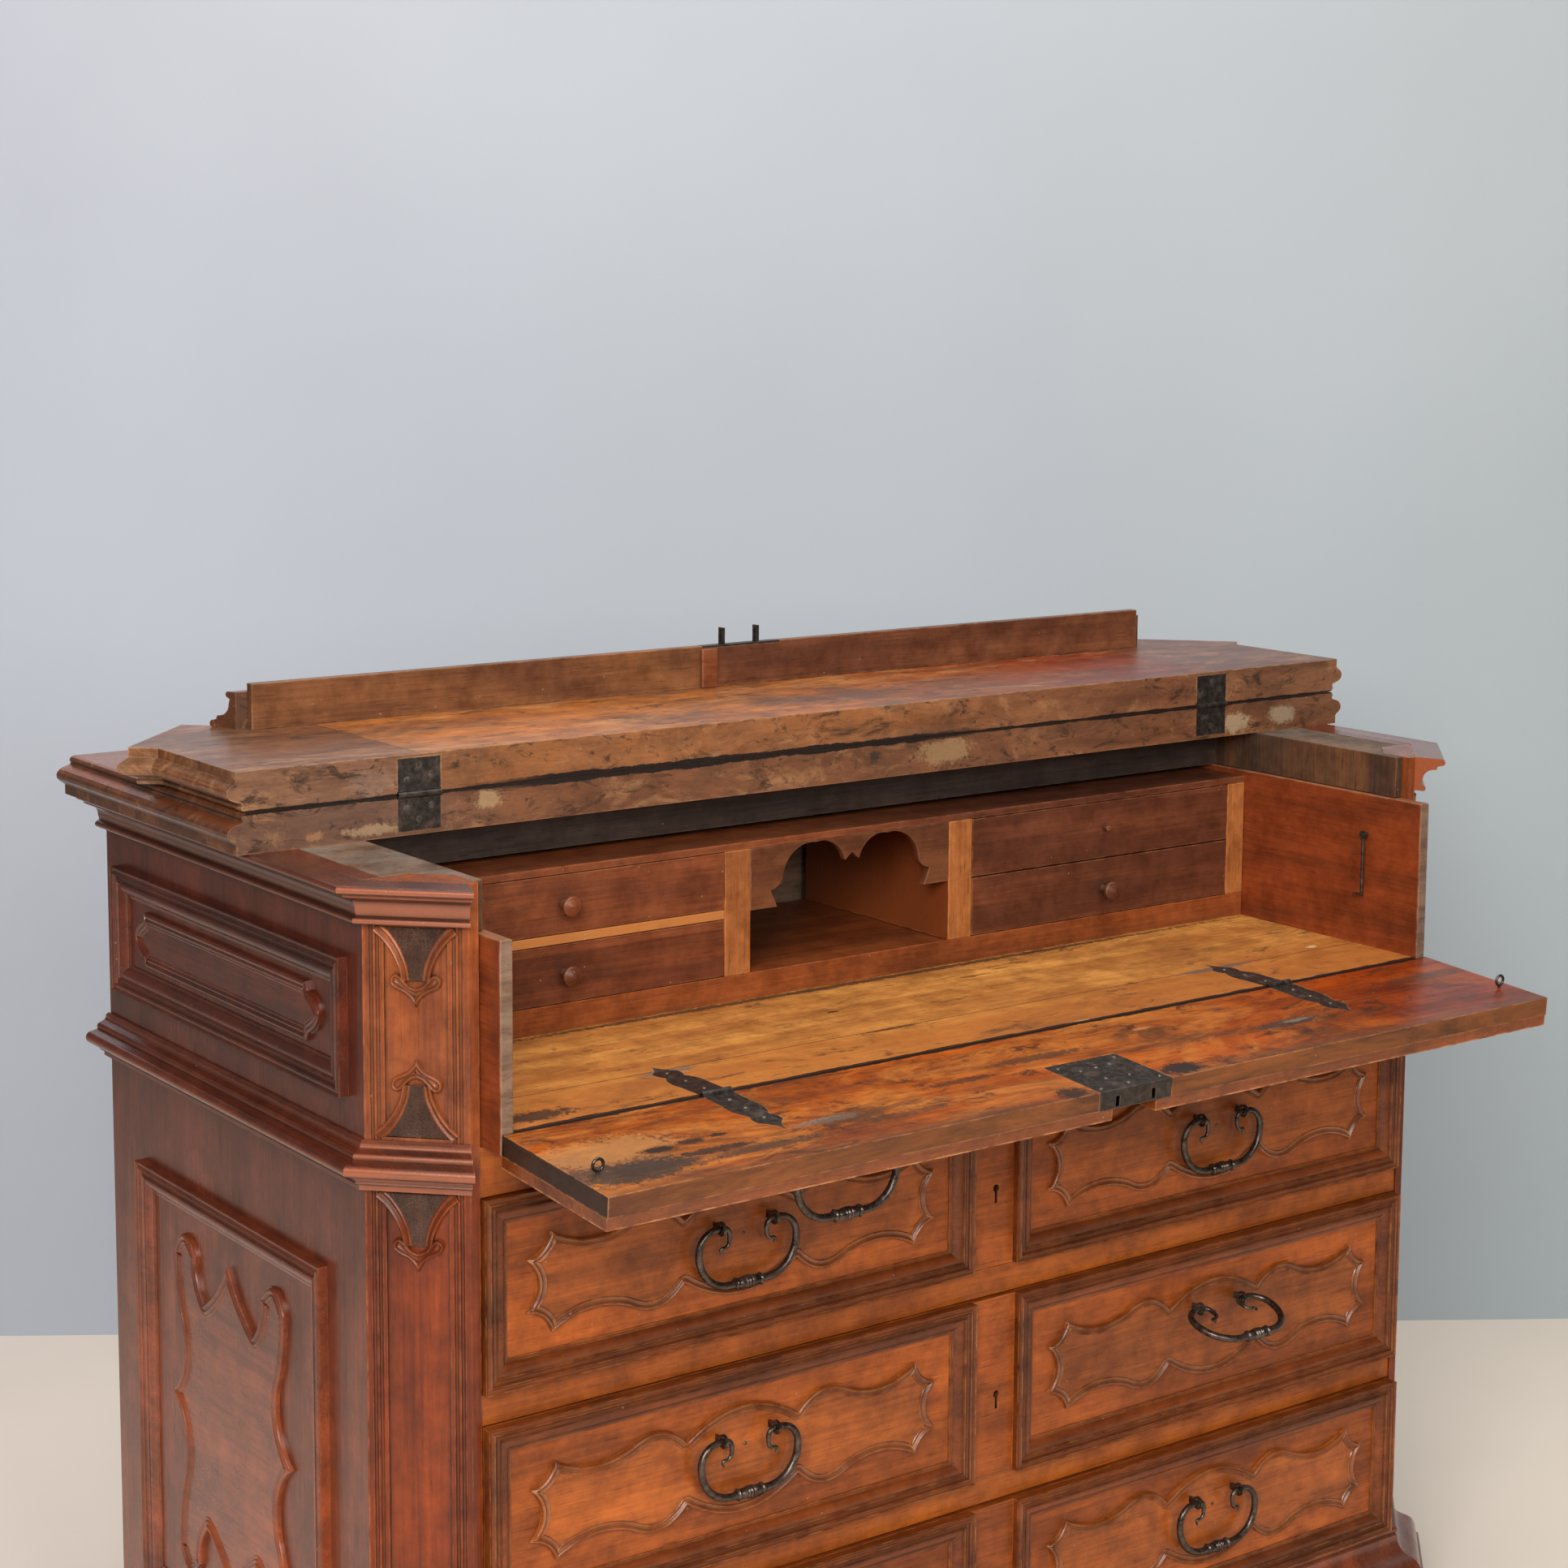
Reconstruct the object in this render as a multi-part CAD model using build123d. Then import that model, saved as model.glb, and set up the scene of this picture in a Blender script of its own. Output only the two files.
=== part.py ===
from build123d import *
import os

# A baroque walnut writing commode: a canted case with long drawers, a folding top,
# and a pull-out writing drawer with a fall flap and a nest of small drawers.
# Millimetres. X is to the right, Y to the back, Z up. Case work is laid out with y = 0 at
# the front of the corner posts; the last step moves all of it so that the origin lies under
# the middle of the open commode.

# Case
CASE_WIDTH = 1400.0
CASE_DEPTH = 644.0
CANT = 71.0
POST_STRIP = 10.0
POST_DEPTH = 40.0
SIDE_THICKNESS = 20.0
BACK_THICKNESS = 16.0
BACK_BOARD_COUNT = 3
BOTTOM_THICKNESS = 15.0
FOOT_HEIGHT = 60.0
FOOT_RADIUS = 46.0
BASE_HEIGHT = 75.0
BASE_PROJECTION = 42.0
RAIL_HEIGHT = 30.0
RAIL_DEPTH = 40.0
RAIL_SETBACK = 2.0
TOP_RAIL_HEIGHT = 48.2
GUIDE_HEIGHT = 18.0
ROW_HEIGHTS = {"bottom": 186.5, "middle": 197.5, "top": 189.0}
RUNNING_GAP = 1.5
SEAT_GAP = 0.3
SIDE_GAP = 2.0
CUT_OVERRUN = 5.0

# Mouldings round the case
STRING_HEIGHT = 46.0
STRING_PROJECTION = 26.0
STRING_FOOT_RISE = 7.75
BED_HEIGHT = 39.0
BED_PROJECTION = 34.0

# Folding top
TOP_THICKNESS = 40.0
TOP_NOSE_PROJECTION = 54.0
EAR_BREAK = 25.0
EAR_REACH = 42.0
TOP_CUT_Y = 234.0
TOP_SEAT_GAP = 0.3
CUT_GAP = 0.3
FASCIA_HEIGHT = 47.5
FASCIA_THICKNESS = 11.0
FASCIA_SETBACK = 8.0
FASCIA_GAP = 0.5
MITRE_GAP = 0.5
SIDE_RAIL_INSET = 92.0
CROSS_RAIL_Y = 304.0
CROSS_RAIL_THICKNESS = 26.0

# Writing drawer and fall flap
WRITING_PULL = 49.3
WRITING_SIDE_HEIGHT = 200.0
WRITING_SIDE_THICKNESS = 14.0
WRITING_REAR_GAP = 34.0
WRITING_BACK_THICKNESS = 12.0
FLOOR_THICKNESS = 21.0
FLAP_SETBACK = 15.0
FLAP_BOARD_THICKNESS = 20.0
FLAP_SIDE_GAP = 2.5
FLAP_DROOP_DEGREES = 3.9
HINGE_GAP = 1.5
END_GAP = 0.5

# Nest of small drawers
NEST_SETBACK = 282.0
NEST_DEPTH = 270.0
NEST_TOP_THICKNESS = 8.0
NEST_TOP_DROP = 6.5
FOOT_RAIL_HEIGHT = 28.5
FOOT_RAIL_DEPTH = 18.0
PIGEONHOLE_WIDTH = 275.0
STILE_WIDTH = 34.0
END_STILE_WIDTH = 28.0
STILE_BOARD_THICKNESS = 10.0
NEST_SHELF_THICKNESS = 10.0
NEST_DRAWER_GAP = 0.8
NEST_DRAWER_FRONT = 12.0
NEST_DRAWER_WALL = 6.0
APRON_THICKNESS = 9.0
KNOB_RADIUS = 10.5
KNOB_LENGTH = 22.0
PEG_RADIUS = 3.0
PEG_LENGTH = 9.0

# Long drawers
FRONT_THICKNESS = 20.0
PANEL_SINK = 4.0
FRAME_WIDTH = 28.0
FRAME_HEIGHT = 14.0
CENTRE_STRIP = 58.0
PLAQUE_RELIEF = 3.0
PLAQUE_HALF_LENGTH = 245.0
PLAQUE_HALF_HEIGHT = 49.0
BOX_WALL = 14.0
BOX_BOTTOM = 10.0
BOX_REAR_GAP = 46.0
BOX_HEADROOM = 22.0
DRAWER_PROUD = {"bottom": 8.0, "middle": 5.0, "top": 0.0}
KEYHOLE_DROP = 17.0
KEYHOLE_X = 5.0
KEYHOLE_RADIUS = 4.0
KEYHOLE_LENGTH = 16.0
KEYHOLE_SLOT = 3.5
LOCK_WIDTH = 90.0
LOCK_HEIGHT = 70.0
LOCK_DEPTH = 14.0

# Panels on the case sides
SIDE_FRAME_WIDTH = 30.0
SIDE_FRAME_HEIGHT = 12.0
UPPER_FRAME_SIDE_MARGIN = 29.5
UPPER_FRAME_TOP_MARGIN = 38.0
UPPER_FRAME_FOOT_MARGIN = 33.0
LOWER_FRAME_SIDE_MARGIN = 77.5
LOWER_FRAME_TOP_MARGIN = 97.0
LOWER_FRAME_FOOT_MARGIN = 72.0
UPPER_PLAQUE_MARGIN = 5.0
UPPER_PLAQUE_HALF_HEIGHT = 29.0
LOWER_PLAQUE_MARGIN = 44.0
LOWER_PLAQUE_HALF_HEIGHT = 178.0

# Pilasters on the canted corners
PILASTER_WIDTH = 60.0
PILASTER_SINK = 3.0
PILASTER_MARGIN = 12.0
FLUTE_RADIUS = 2.0
FLUTE_PITCH = 6.0
TULIP_LENGTH = 72.0
TULIP_RELIEF = 4.0

# Wrought iron
BAIL_WIRE = 4.2
BAIL_SIDES = 8
BAIL_HALF_WIDTH = 58.5
BAIL_DROP = 59.0
BAIL_COLLAR = 6.5
BAIL_COLLAR_LENGTH = 30.0
BAIL_RING_WIDTH = 3.6
BAIL_RISE = {"bottom": 26.0, "middle": 28.0, "top": 19.0}
BAIL_CLEARANCE = 6.0
RAISED_BAIL_DEGREES = 72.0
FLAP_BAIL_PIVOT = 124.0
FLAP_BAIL_SHIFT = 9.0
FLAP_BAIL_CLEARANCE = 1.5
LAID_BAIL_DEGREES = 90.0
STAPLE_X = 32.0
STAPLE_THICKNESS = 3.0
STAPLE_WALL = 2.6
STAPLE_GAP = 0.4
BUTT_LEFT = -548.0
BUTT_RIGHT = 530.0
BUTT_WIDTH = 48.0
BUTT_HEIGHT = 36.0
LEAF_THICKNESS = 2.2
BUTT_KNUCKLE = 3.4
STRAP_X = 379.0
STRAP_WIDTH = 34.0
STRAP_LENGTH = 114.0
STRAP_KNUCKLE = 4.0
PIN_RADIUS = 1.6
PIN_GAP = 0.05
KNUCKLE_GAP = 0.3
KNUCKLE_POCKET = 0.8
HOOK_WIRE = 1.8
HOOK_RING = 4.8
HOOK_RING_WIDTH = 3.5
HOOK_RING_GAP = 0.2
STUD_HEAD = 3.0
STUD_HEAD_THICKNESS = 1.3
STUD_HEAD_GAP = 0.4
HOOK_LENGTH = 71.0
HOOK_TIP = 12.0
HOOK_BACK = 80.0
HOOK_RISE = 132.0
EYE_WIRE = 1.5
EYE_RADIUS = 5.5
EYE_STAND = 9.0
EYE_GAP = 0.8
LOCK_CASE_WIDTH = 96.0
LOCK_CASE_DEPTH = 85.0
LOCK_CASE_THICKNESS = 20.0
LOCK_KEY_DEPTH = 51.0
LOCK_WALL = 2.0
STAPLE_SPACING = 48.0
LOOP_THICKNESS = 3.0
LOOP_WIDTH = 9.0
LOOP_HEIGHT = 19.0
LOOP_BAR = 3.0
LOOP_EYE = 4.2
SLOT_GAP = 1.0
BOLT_FINGER = 3.0
BOLT_REACH = 12.0
BOLT_BAR = 6.0
BOLT_GAP = 0.3

QUARTER = 90.0
MITRE_SLOPE = 2 ** 0.5 - 1

# Derived planes and heights
HALF = CASE_WIDTH / 2
FRONT_HALF = HALF - CANT
OPENING_HALF = FRONT_HALF - POST_STRIP
BASE_TOP = FOOT_HEIGHT + BASE_HEIGHT
ROW_Z = {"bottom": BASE_TOP}
ROW_Z["middle"] = ROW_Z["bottom"] + ROW_HEIGHTS["bottom"] + RAIL_HEIGHT
ROW_Z["top"] = ROW_Z["middle"] + ROW_HEIGHTS["middle"] + RAIL_HEIGHT
TOP_RAIL_Z = ROW_Z["top"] + ROW_HEIGHTS["top"]
WRITING_Z = TOP_RAIL_Z + TOP_RAIL_HEIGHT
WRITING_BOTTOM = WRITING_Z + SEAT_GAP
FLOOR_Z = WRITING_BOTTOM + FLOOR_THICKNESS
WRITING_TOP = WRITING_BOTTOM + WRITING_SIDE_HEIGHT
FASCIA_Z = WRITING_TOP + FASCIA_GAP
CASE_TOP = FASCIA_Z + FASCIA_HEIGHT
TOP_Z = CASE_TOP + TOP_THICKNESS
STRING_Z = TOP_RAIL_Z + STRING_FOOT_RISE
DRAWER_HALF = OPENING_HALF - SIDE_GAP
WRITING_INNER = DRAWER_HALF - WRITING_SIDE_THICKNESS
INNER_BACK = CASE_DEPTH - BACK_THICKNESS
SIDE_INNER = HALF - SIDE_THICKNESS
SIDE_MIDDLE = (CANT + CASE_DEPTH) / 2
UPPER_FRAME_LENGTH = CASE_DEPTH - CANT - UPPER_FRAME_SIDE_MARGIN * 2
LOWER_FRAME_LENGTH = CASE_DEPTH - CANT - LOWER_FRAME_SIDE_MARGIN * 2
UPPER_PLAQUE_HALF_LENGTH = UPPER_FRAME_LENGTH / 2 - SIDE_FRAME_WIDTH - UPPER_PLAQUE_MARGIN
LOWER_PLAQUE_HALF_LENGTH = LOWER_FRAME_LENGTH / 2 - SIDE_FRAME_WIDTH - LOWER_PLAQUE_MARGIN
RAIL_INNER = HALF - SIDE_RAIL_INSET
FLAP_Y = FLAP_SETBACK - WRITING_PULL
FLAP_HALF = OPENING_HALF - FLAP_SIDE_GAP
FLAP_LENGTH = WRITING_TOP - FLOOR_Z
NEST_Y = FLAP_Y + NEST_SETBACK
WRITING_BACK_Y = INNER_BACK - WRITING_PULL - WRITING_REAR_GAP
NEST_TOP_Z = WRITING_TOP - NEST_TOP_DROP
BAY_Z = FLOOR_Z + FOOT_RAIL_HEIGHT
BAY_TOP = NEST_TOP_Z - NEST_TOP_THICKNESS
STILE_INNER = PIGEONHOLE_WIDTH / 2
BAY_INNER = STILE_INNER + STILE_WIDTH
BAY_OUTER = WRITING_INNER - END_STILE_WIDTH
TOP_AXIS = Axis((0, TOP_CUT_Y, TOP_Z + TOP_SEAT_GAP), (1, 0, 0))
FLAP_AXIS = Axis((0, FLAP_Y, FLOOR_Z), (1, 0, 0))
SLOT_DEPTH = FLAP_SETBACK - FASCIA_SETBACK + FASCIA_THICKNESS / 2
LOOP_Y = FLAP_SETBACK - SLOT_DEPTH
FLAP_UNDER = FLOOR_Z - FLAP_BOARD_THICKNESS
LOCK_Z = FLOOR_Z - LOCK_CASE_THICKNESS
HOOK_PLANE = WRITING_INNER - EYE_RADIUS - EYE_WIRE - EYE_GAP
HOOK_Y = FLAP_Y + HOOK_BACK
HOOK_Z = FLOOR_Z + HOOK_RISE
PANEL_Y = RAIL_SETBACK + PANEL_SINK
PLAQUE_Y = PANEL_Y - PLAQUE_RELIEF
BAIL_Y = PLAQUE_Y - BAIL_COLLAR - BAIL_CLEARANCE
PANEL_X = (DRAWER_HALF + CENTRE_STRIP / 2) / 2
FLAP_FRONT_Y = FLAP_Y - FLAP_LENGTH
ORIGIN_Y = -(FLAP_FRONT_Y + CASE_DEPTH) / 2

# Outlines as shares of half-length and half-height. A third share is the bow of the side
# that ends at the point, as a part of its chord, outwards when positive.
CARTOUCHE_SHARES = [
    (0.275, 0.66, 0.17), (0.54, 0.86, 0.20), (0.89, 1.00, -0.12), (1.00, 0.52, -0.15),
    (1.00, -0.52, -0.25), (0.89, -1.00, -0.15), (0.54, -0.86, -0.12), (0.275, -0.66, 0.20),
    (-0.275, -0.66, 0.17), (-0.54, -0.86, 0.20), (-0.89, -1.00, -0.12), (-1.00, -0.52, -0.15),
    (-1.00, 0.52, -0.25), (-0.89, 1.00, -0.15), (-0.54, 0.86, -0.12), (-0.275, 0.66, 0.20),
]
UPPER_PLAQUE_SHARES = [
    (0.82, 1.0), (0.84, 0.72), (0.84, -0.72, 0.50), (0.82, -1.0),
    (-0.82, -1.0), (-0.84, -0.72), (-0.84, 0.72, 0.50), (-0.82, 1.0),
]
LOWER_PLAQUE_SHARES = [
    (0.00, 0.99, -0.06), (0.42, 0.68, -0.06), (0.56, 0.93, -0.12), (0.92, 0.90, 0.42),
    (0.80, 0.46, 0.06), (1.00, 0.04, -0.18), (0.80, -0.42, -0.18), (0.92, -0.90, 0.06),
    (0.56, -0.93, 0.42), (0.42, -0.68, -0.12), (0.00, -0.99, -0.06), (-0.42, -0.68, -0.06),
    (-0.56, -0.93, -0.12), (-0.92, -0.90, 0.42), (-0.80, -0.42, 0.06), (-1.00, 0.04, -0.18),
    (-0.80, 0.46, -0.18), (-0.92, 0.90, 0.06), (-0.56, 0.93, 0.42), (-0.42, 0.68, -0.12),
]
TULIP_SHARES = [
    (1.00, 0.00), (0.16, -0.68, -0.14), (0.56, -0.66, 0.10), (0.52, -0.84, 0.45),
    (0.00, -1.00, -0.12), (-0.52, -0.84, -0.12), (-0.56, -0.66, 0.45), (-0.16, -0.68, 0.10),
    (-1.00, 0.00, -0.14),
]
APRON_SHARES = [
    (1.00, 0.00), (1.00, -1.00), (0.74, -1.00), (0.80, -0.72), (0.68, -0.46, 0.20),
    (0.36, -0.04, -0.20), (0.07, -0.40, -0.20), (0.00, -0.28), (-0.07, -0.40),
    (-0.36, -0.04, -0.20), (-0.68, -0.46, -0.20), (-0.80, -0.72, 0.20), (-0.74, -1.00),
    (-1.00, -1.00), (-1.00, 0.00),
]
CURL_SHARES = [(0.56, -0.40), (0.39, -0.36), (0.37, 0.0)]
CURL_RADIUS_SHARES = [0.12, 0.14, 0.36, 0.62]
STRAP_SHARES = [
    (0.5, 0.00), (0.5, 0.30), (0.32, 0.62, -0.10), (0.42, 0.78, -0.10), (0.0, 1.00, 0.10),
    (-0.42, 0.78, 0.10), (-0.32, 0.62, -0.10), (-0.5, 0.30, -0.10), (-0.5, 0.00),
]

# Moulding sections as shares of projection and height, from the foot of the section up.
STRING_SHARES = [
    (0, 0), (0.30, 0), (0.30, 0.10), (0.50, 0.16), (0.55, 0.30, 0.20), (0.85, 0.34),
    (0.85, 0.62, -0.50), (0.58, 0.66), (0.46, 0.80, -0.25), (0.30, 0.84), (0.22, 0.94, 0.20),
    (0.10, 1.0), (0, 1.0),
]
BED_SHARES = [
    (0, 0), (0.30, 0), (0.30, 0.16, -0.35), (0.22, 0.20), (0.26, 0.34), (0.66, 0.66, 0.22),
    (0.72, 0.70), (0.72, 0.76), (0.86, 0.80), (0.86, 1.0, -0.50), (0, 1.0),
]
BASE_SHARES = [
    (0, 0), (1.0, 0), (1.0, 0.22), (0.90, 0.26), (0.62, 0.55, -0.18), (0.20, 0.86, 0.18),
    (0.14, 0.90), (0.14, 1.0, -0.40), (0, 1.0),
]
NOSE_SHARES = [
    (0.83, 0), (0.83, 0.25), (0.87, 0.30), (0.94, 0.36), (0.99, 0.44), (1.0, 0.52), (0.98, 0.60),
    (0.93, 0.67), (0.85, 0.72), (0.72, 0.77), (0.70, 0.82), (0.72, 0.87), (0.72, 0.92),
    (0.69, 0.97), (0.63, 1.0),
]
FOOT_SHARES = [
    (0, 0), (0.55, 0), (0.55, 0.06), (0.62, 0.72, -0.45), (0.62, 1.0), (0, 1.0),
]
KNOB_SHARES = [
    (0, 0), (0.52, 0), (0.35, 0.20), (0.35, 0.45), (1.0, 0.62), (1.0, 0.78), (0.45, 0.92), (0, 1.0),
]
FRAME_SHARES = [
    (0, 0), (0, 0.86), (0.22, 0.86, -0.30), (0.26, 0.74), (0.46, 0.74, -0.45), (0.50, 0.56),
    (0.90, 0.16, 0.18), (1.0, 0.12), (1.0, 0),
]


def block(x0, x1, y0, y1, z0, z1):
    """A board between two corners."""
    size = (x1 - x0, y1 - y0, z1 - z0)
    return Pos((x0 + x1) / 2, (y0 + y1) / 2, (z0 + z1) / 2) * Box(*size)


def flipped(shape):
    """The same piece on the other side of the case."""
    return shape.mirror(Plane.YZ)


def outline(shares, across, up):
    """A flat face from shares; a third share bows the side that ends at its point."""
    corners = [Vector(s[0] * across, s[1] * up) for s in shares]
    edges = []
    for k, share in enumerate(shares):
        start = corners[k - 1]
        end = corners[k]
        if len(share) > 2:
            chord = end - start
            middle = (start + end) * 0.5 + Vector(-chord.Y, chord.X) * share[2]
            edges.append(ThreePointArc(start, middle, end))
        else:
            edges.append(Line(start, end))
    return make_face(edges)


def slab(face, plane, thickness):
    """A face laid on a plane and thickened along its normal."""
    return extrude(plane * face, amount=thickness, dir=plane.z_dir)


def run_moulding(section, points, z):
    """A section swept along a plan route, outwards on the right, with mitred corners."""
    start = Vector(*points[0], z)
    step = Vector(*points[1], z) - start
    step = step.normalized()
    plane = Plane(origin=start, x_dir=(step.Y, -step.X, 0), z_dir=-step)
    path = Polyline(*[(x, y, z) for x, y in points])
    return sweep(plane * section, path=path, transition=Transition.RIGHT)


def run_frame(section, plane, width, height):
    """A mitred rectangular frame of moulding that stands on a plane, section inwards."""
    tall = section.bounding_box().max.Y + CUT_OVERRUN
    bars = []
    for k in range(4):
        length, reach = ((width, height), (height, width))[k % 2]
        bar = Pos(0, -reach / 2, 0) * extrude(Plane.YZ * section, amount=length / 2, both=True)
        ends = (-length / 2, -reach / 2), (length / 2, -reach / 2), (0, (length - reach) / 2)
        bar &= extrude(make_face(Polyline(*ends, close=True)), amount=tall, both=True)
        bars.append(plane.location * Rot(0, 0, QUARTER * k) * bar)
    return Compound([solid for bar in bars for solid in bar.solids()])


def barrel(radius, x0, x1, y, z):
    """A round bar along X."""
    return Pos((x0 + x1) / 2, y, z) * Rot(0, QUARTER, 0) * Cylinder(radius, x1 - x0)


def save(name, *pieces):
    """Write the pieces of one named sub-part, moved to the common origin."""
    solids = [solid for piece in pieces for solid in piece.solids()]
    group = Compound(solids).moved(Location((0, ORIGIN_Y, 0)))
    group.label = name
    export_step(group, f"parts/{name}.step")


# Corner posts, with flutes beside a sunk panel on the canted face.
def make_post():
    """The left corner post."""
    middle = Vector((-HALF - FRONT_HALF) / 2, CANT / 2, 0)
    face = Plane(origin=middle, x_dir=(1, -1, 0), z_dir=(-1, -1, 0))
    plan = make_face(Polyline(
        (-HALF, CANT), (-FRONT_HALF, 0), (-OPENING_HALF, 0), (-OPENING_HALF, POST_DEPTH),
        (-OPENING_HALF - CANT + POST_DEPTH, CANT), close=True,
    ))
    post = Pos(0, 0, FOOT_HEIGHT) * extrude(plan, amount=CASE_TOP - FOOT_HEIGHT)
    for side in (-1, 1):
        for k in (1, 2):
            across = side * (PILASTER_WIDTH / 2 + k * FLUTE_PITCH)
            at = face.from_local_coords((across, 0, 0))
            post -= Pos(at.X, at.Y, (FOOT_HEIGHT + CASE_TOP) / 2) * Cylinder(FLUTE_RADIUS, CASE_TOP)
    for low, high in PILASTER_SPANS:
        sunk = Rectangle(PILASTER_WIDTH, high - low)
        lifted = Plane(origin=middle + Vector(0, 0, (low + high) / 2), x_dir=face.x_dir, z_dir=face.z_dir)
        post -= extrude(lifted * sunk, amount=-PILASTER_SINK, dir=lifted.z_dir)
    return post


def make_tulips():
    """The four carved tulips of the left post, at both ends of its two sunk panels."""
    out = Vector(-1, -1, 0).normalized()
    ground = Vector((-HALF - FRONT_HALF) / 2, CANT / 2, 0) - out * PILASTER_SINK
    face = outline(TULIP_SHARES, PILASTER_WIDTH / 2 - FLUTE_RADIUS, TULIP_LENGTH)
    carved = []
    for low, high in PILASTER_SPANS:
        top = Plane(origin=ground + Vector(0, 0, high), x_dir=(1, -1, 0), z_dir=out)
        foot = Plane(origin=ground + Vector(0, 0, low), x_dir=(-1, 1, 0), z_dir=out)
        carved.append(slab(face, top, TULIP_RELIEF))
        carved.append(slab(face, foot, TULIP_RELIEF))
    return carved


PILASTER_SPANS = [
    (BASE_TOP + PILASTER_MARGIN, STRING_Z - PILASTER_MARGIN / 4),
    (STRING_Z + STRING_HEIGHT + PILASTER_MARGIN / 4, CASE_TOP - BED_HEIGHT - PILASTER_MARGIN / 4),
]
left_post = make_post()
tulips = make_tulips()


# Case sides, back, rails, runners, bottom and feet.
left_side = block(-HALF, -SIDE_INNER, CANT, CASE_DEPTH, FOOT_HEIGHT, CASE_TOP)
board_height = (CASE_TOP - FOOT_HEIGHT) / BACK_BOARD_COUNT
back_boards = []
for k in range(BACK_BOARD_COUNT):
    low = FOOT_HEIGHT + k * board_height
    back_boards.append(block(-SIDE_INNER, SIDE_INNER, INNER_BACK, CASE_DEPTH, low, low + board_height))
rail_y = (RAIL_SETBACK, RAIL_SETBACK + RAIL_DEPTH)
rail_spans = [(FOOT_HEIGHT + BOTTOM_THICKNESS, BASE_TOP), (TOP_RAIL_Z, WRITING_Z)]
for row in ("middle", "top"):
    rail_spans.append((ROW_Z[row] - RAIL_HEIGHT, ROW_Z[row]))
front_rails = [block(-OPENING_HALF, OPENING_HALF, *rail_y, low, high) for low, high in rail_spans]


def make_runner(high):
    """A left-hand runner and its guide strip, between the post, the side and the back."""
    tread = block(-SIDE_INNER, -WRITING_INNER + BOX_WALL, CANT, INNER_BACK, high - RAIL_HEIGHT, high)
    guide = block(-SIDE_INNER, -OPENING_HALF, CANT, INNER_BACK, high, high + GUIDE_HEIGHT)
    return [tread, guide]


inner_frame = []
for low, high in rail_spans:
    for piece in make_runner(high):
        inner_frame += [piece, flipped(piece)]
bottom_board = block(
    -SIDE_INNER, SIDE_INNER, CANT, INNER_BACK, FOOT_HEIGHT, FOOT_HEIGHT + BOTTOM_THICKNESS
)
inner_frame.append(bottom_board)


def turned(shares, radius, height):
    """A turned piece that stands on the origin, its axis upright."""
    return revolve(Plane.XZ * outline(shares, radius, height), axis=Axis.Z)


foot = turned(FOOT_SHARES, FOOT_RADIUS, FOOT_HEIGHT)
foot_inset = FOOT_RADIUS * 1.2
feet = [
    Pos(side * (HALF - foot_inset), y, 0) * foot
    for side in (-1, 1) for y in (CANT, CASE_DEPTH - foot_inset)
]

# Mouldings that run round the case.
def front_wedge(gap):
    """The space in front of the opening, between the mitres of the corner mouldings."""
    near = FRONT_HALF - gap
    far = near + CANT * MITRE_SLOPE
    plan = make_face(Polyline((-near, 0), (-far, -CANT), (far, -CANT), (near, 0), close=True))
    return extrude(plan, amount=TOP_Z)


left_route = [(-HALF, CASE_DEPTH), (-HALF, CANT), (-FRONT_HALF, 0)]
front_route = left_route + [(-OPENING_HALF, 0)]
base_route = left_route + [(FRONT_HALF, 0), (HALF, CANT), (HALF, CASE_DEPTH)]
string_section = outline(STRING_SHARES, STRING_PROJECTION, STRING_HEIGHT)
bed_section = outline(BED_SHARES, BED_PROJECTION, BED_HEIGHT)
base_section = outline(BASE_SHARES, BASE_PROJECTION, BASE_HEIGHT)
string_run = run_moulding(string_section, front_route, STRING_Z) - front_wedge(0)
bed_run = run_moulding(bed_section, front_route, CASE_TOP - BED_HEIGHT) - front_wedge(0)
base_moulding = run_moulding(base_section, base_route, FOOT_HEIGHT)

# Rails under the top.
left_rail_plan = make_face(Polyline(
    (-SIDE_INNER, CANT), (-OPENING_HALF - CANT + POST_DEPTH, CANT), (-OPENING_HALF, POST_DEPTH),
    (-OPENING_HALF, FASCIA_SETBACK + SIDE_GAP), (-RAIL_INNER, FASCIA_SETBACK + SIDE_GAP),
    (-RAIL_INNER, INNER_BACK), (-SIDE_INNER, INNER_BACK), close=True,
))
left_rail = Pos(0, 0, FASCIA_Z) * extrude(left_rail_plan, amount=FASCIA_HEIGHT)
cross_rail = block(
    -RAIL_INNER, RAIL_INNER, CROSS_RAIL_Y, CROSS_RAIL_Y + CROSS_RAIL_THICKNESS, FASCIA_Z, CASE_TOP
)


# Framed panels on the case sides.
def side_plane(z):
    """A plane on the left side of the case, its X towards the back and its Y up."""
    return Plane(origin=(-HALF, SIDE_MIDDLE, z), x_dir=(0, -1, 0), z_dir=(-1, 0, 0))


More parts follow.
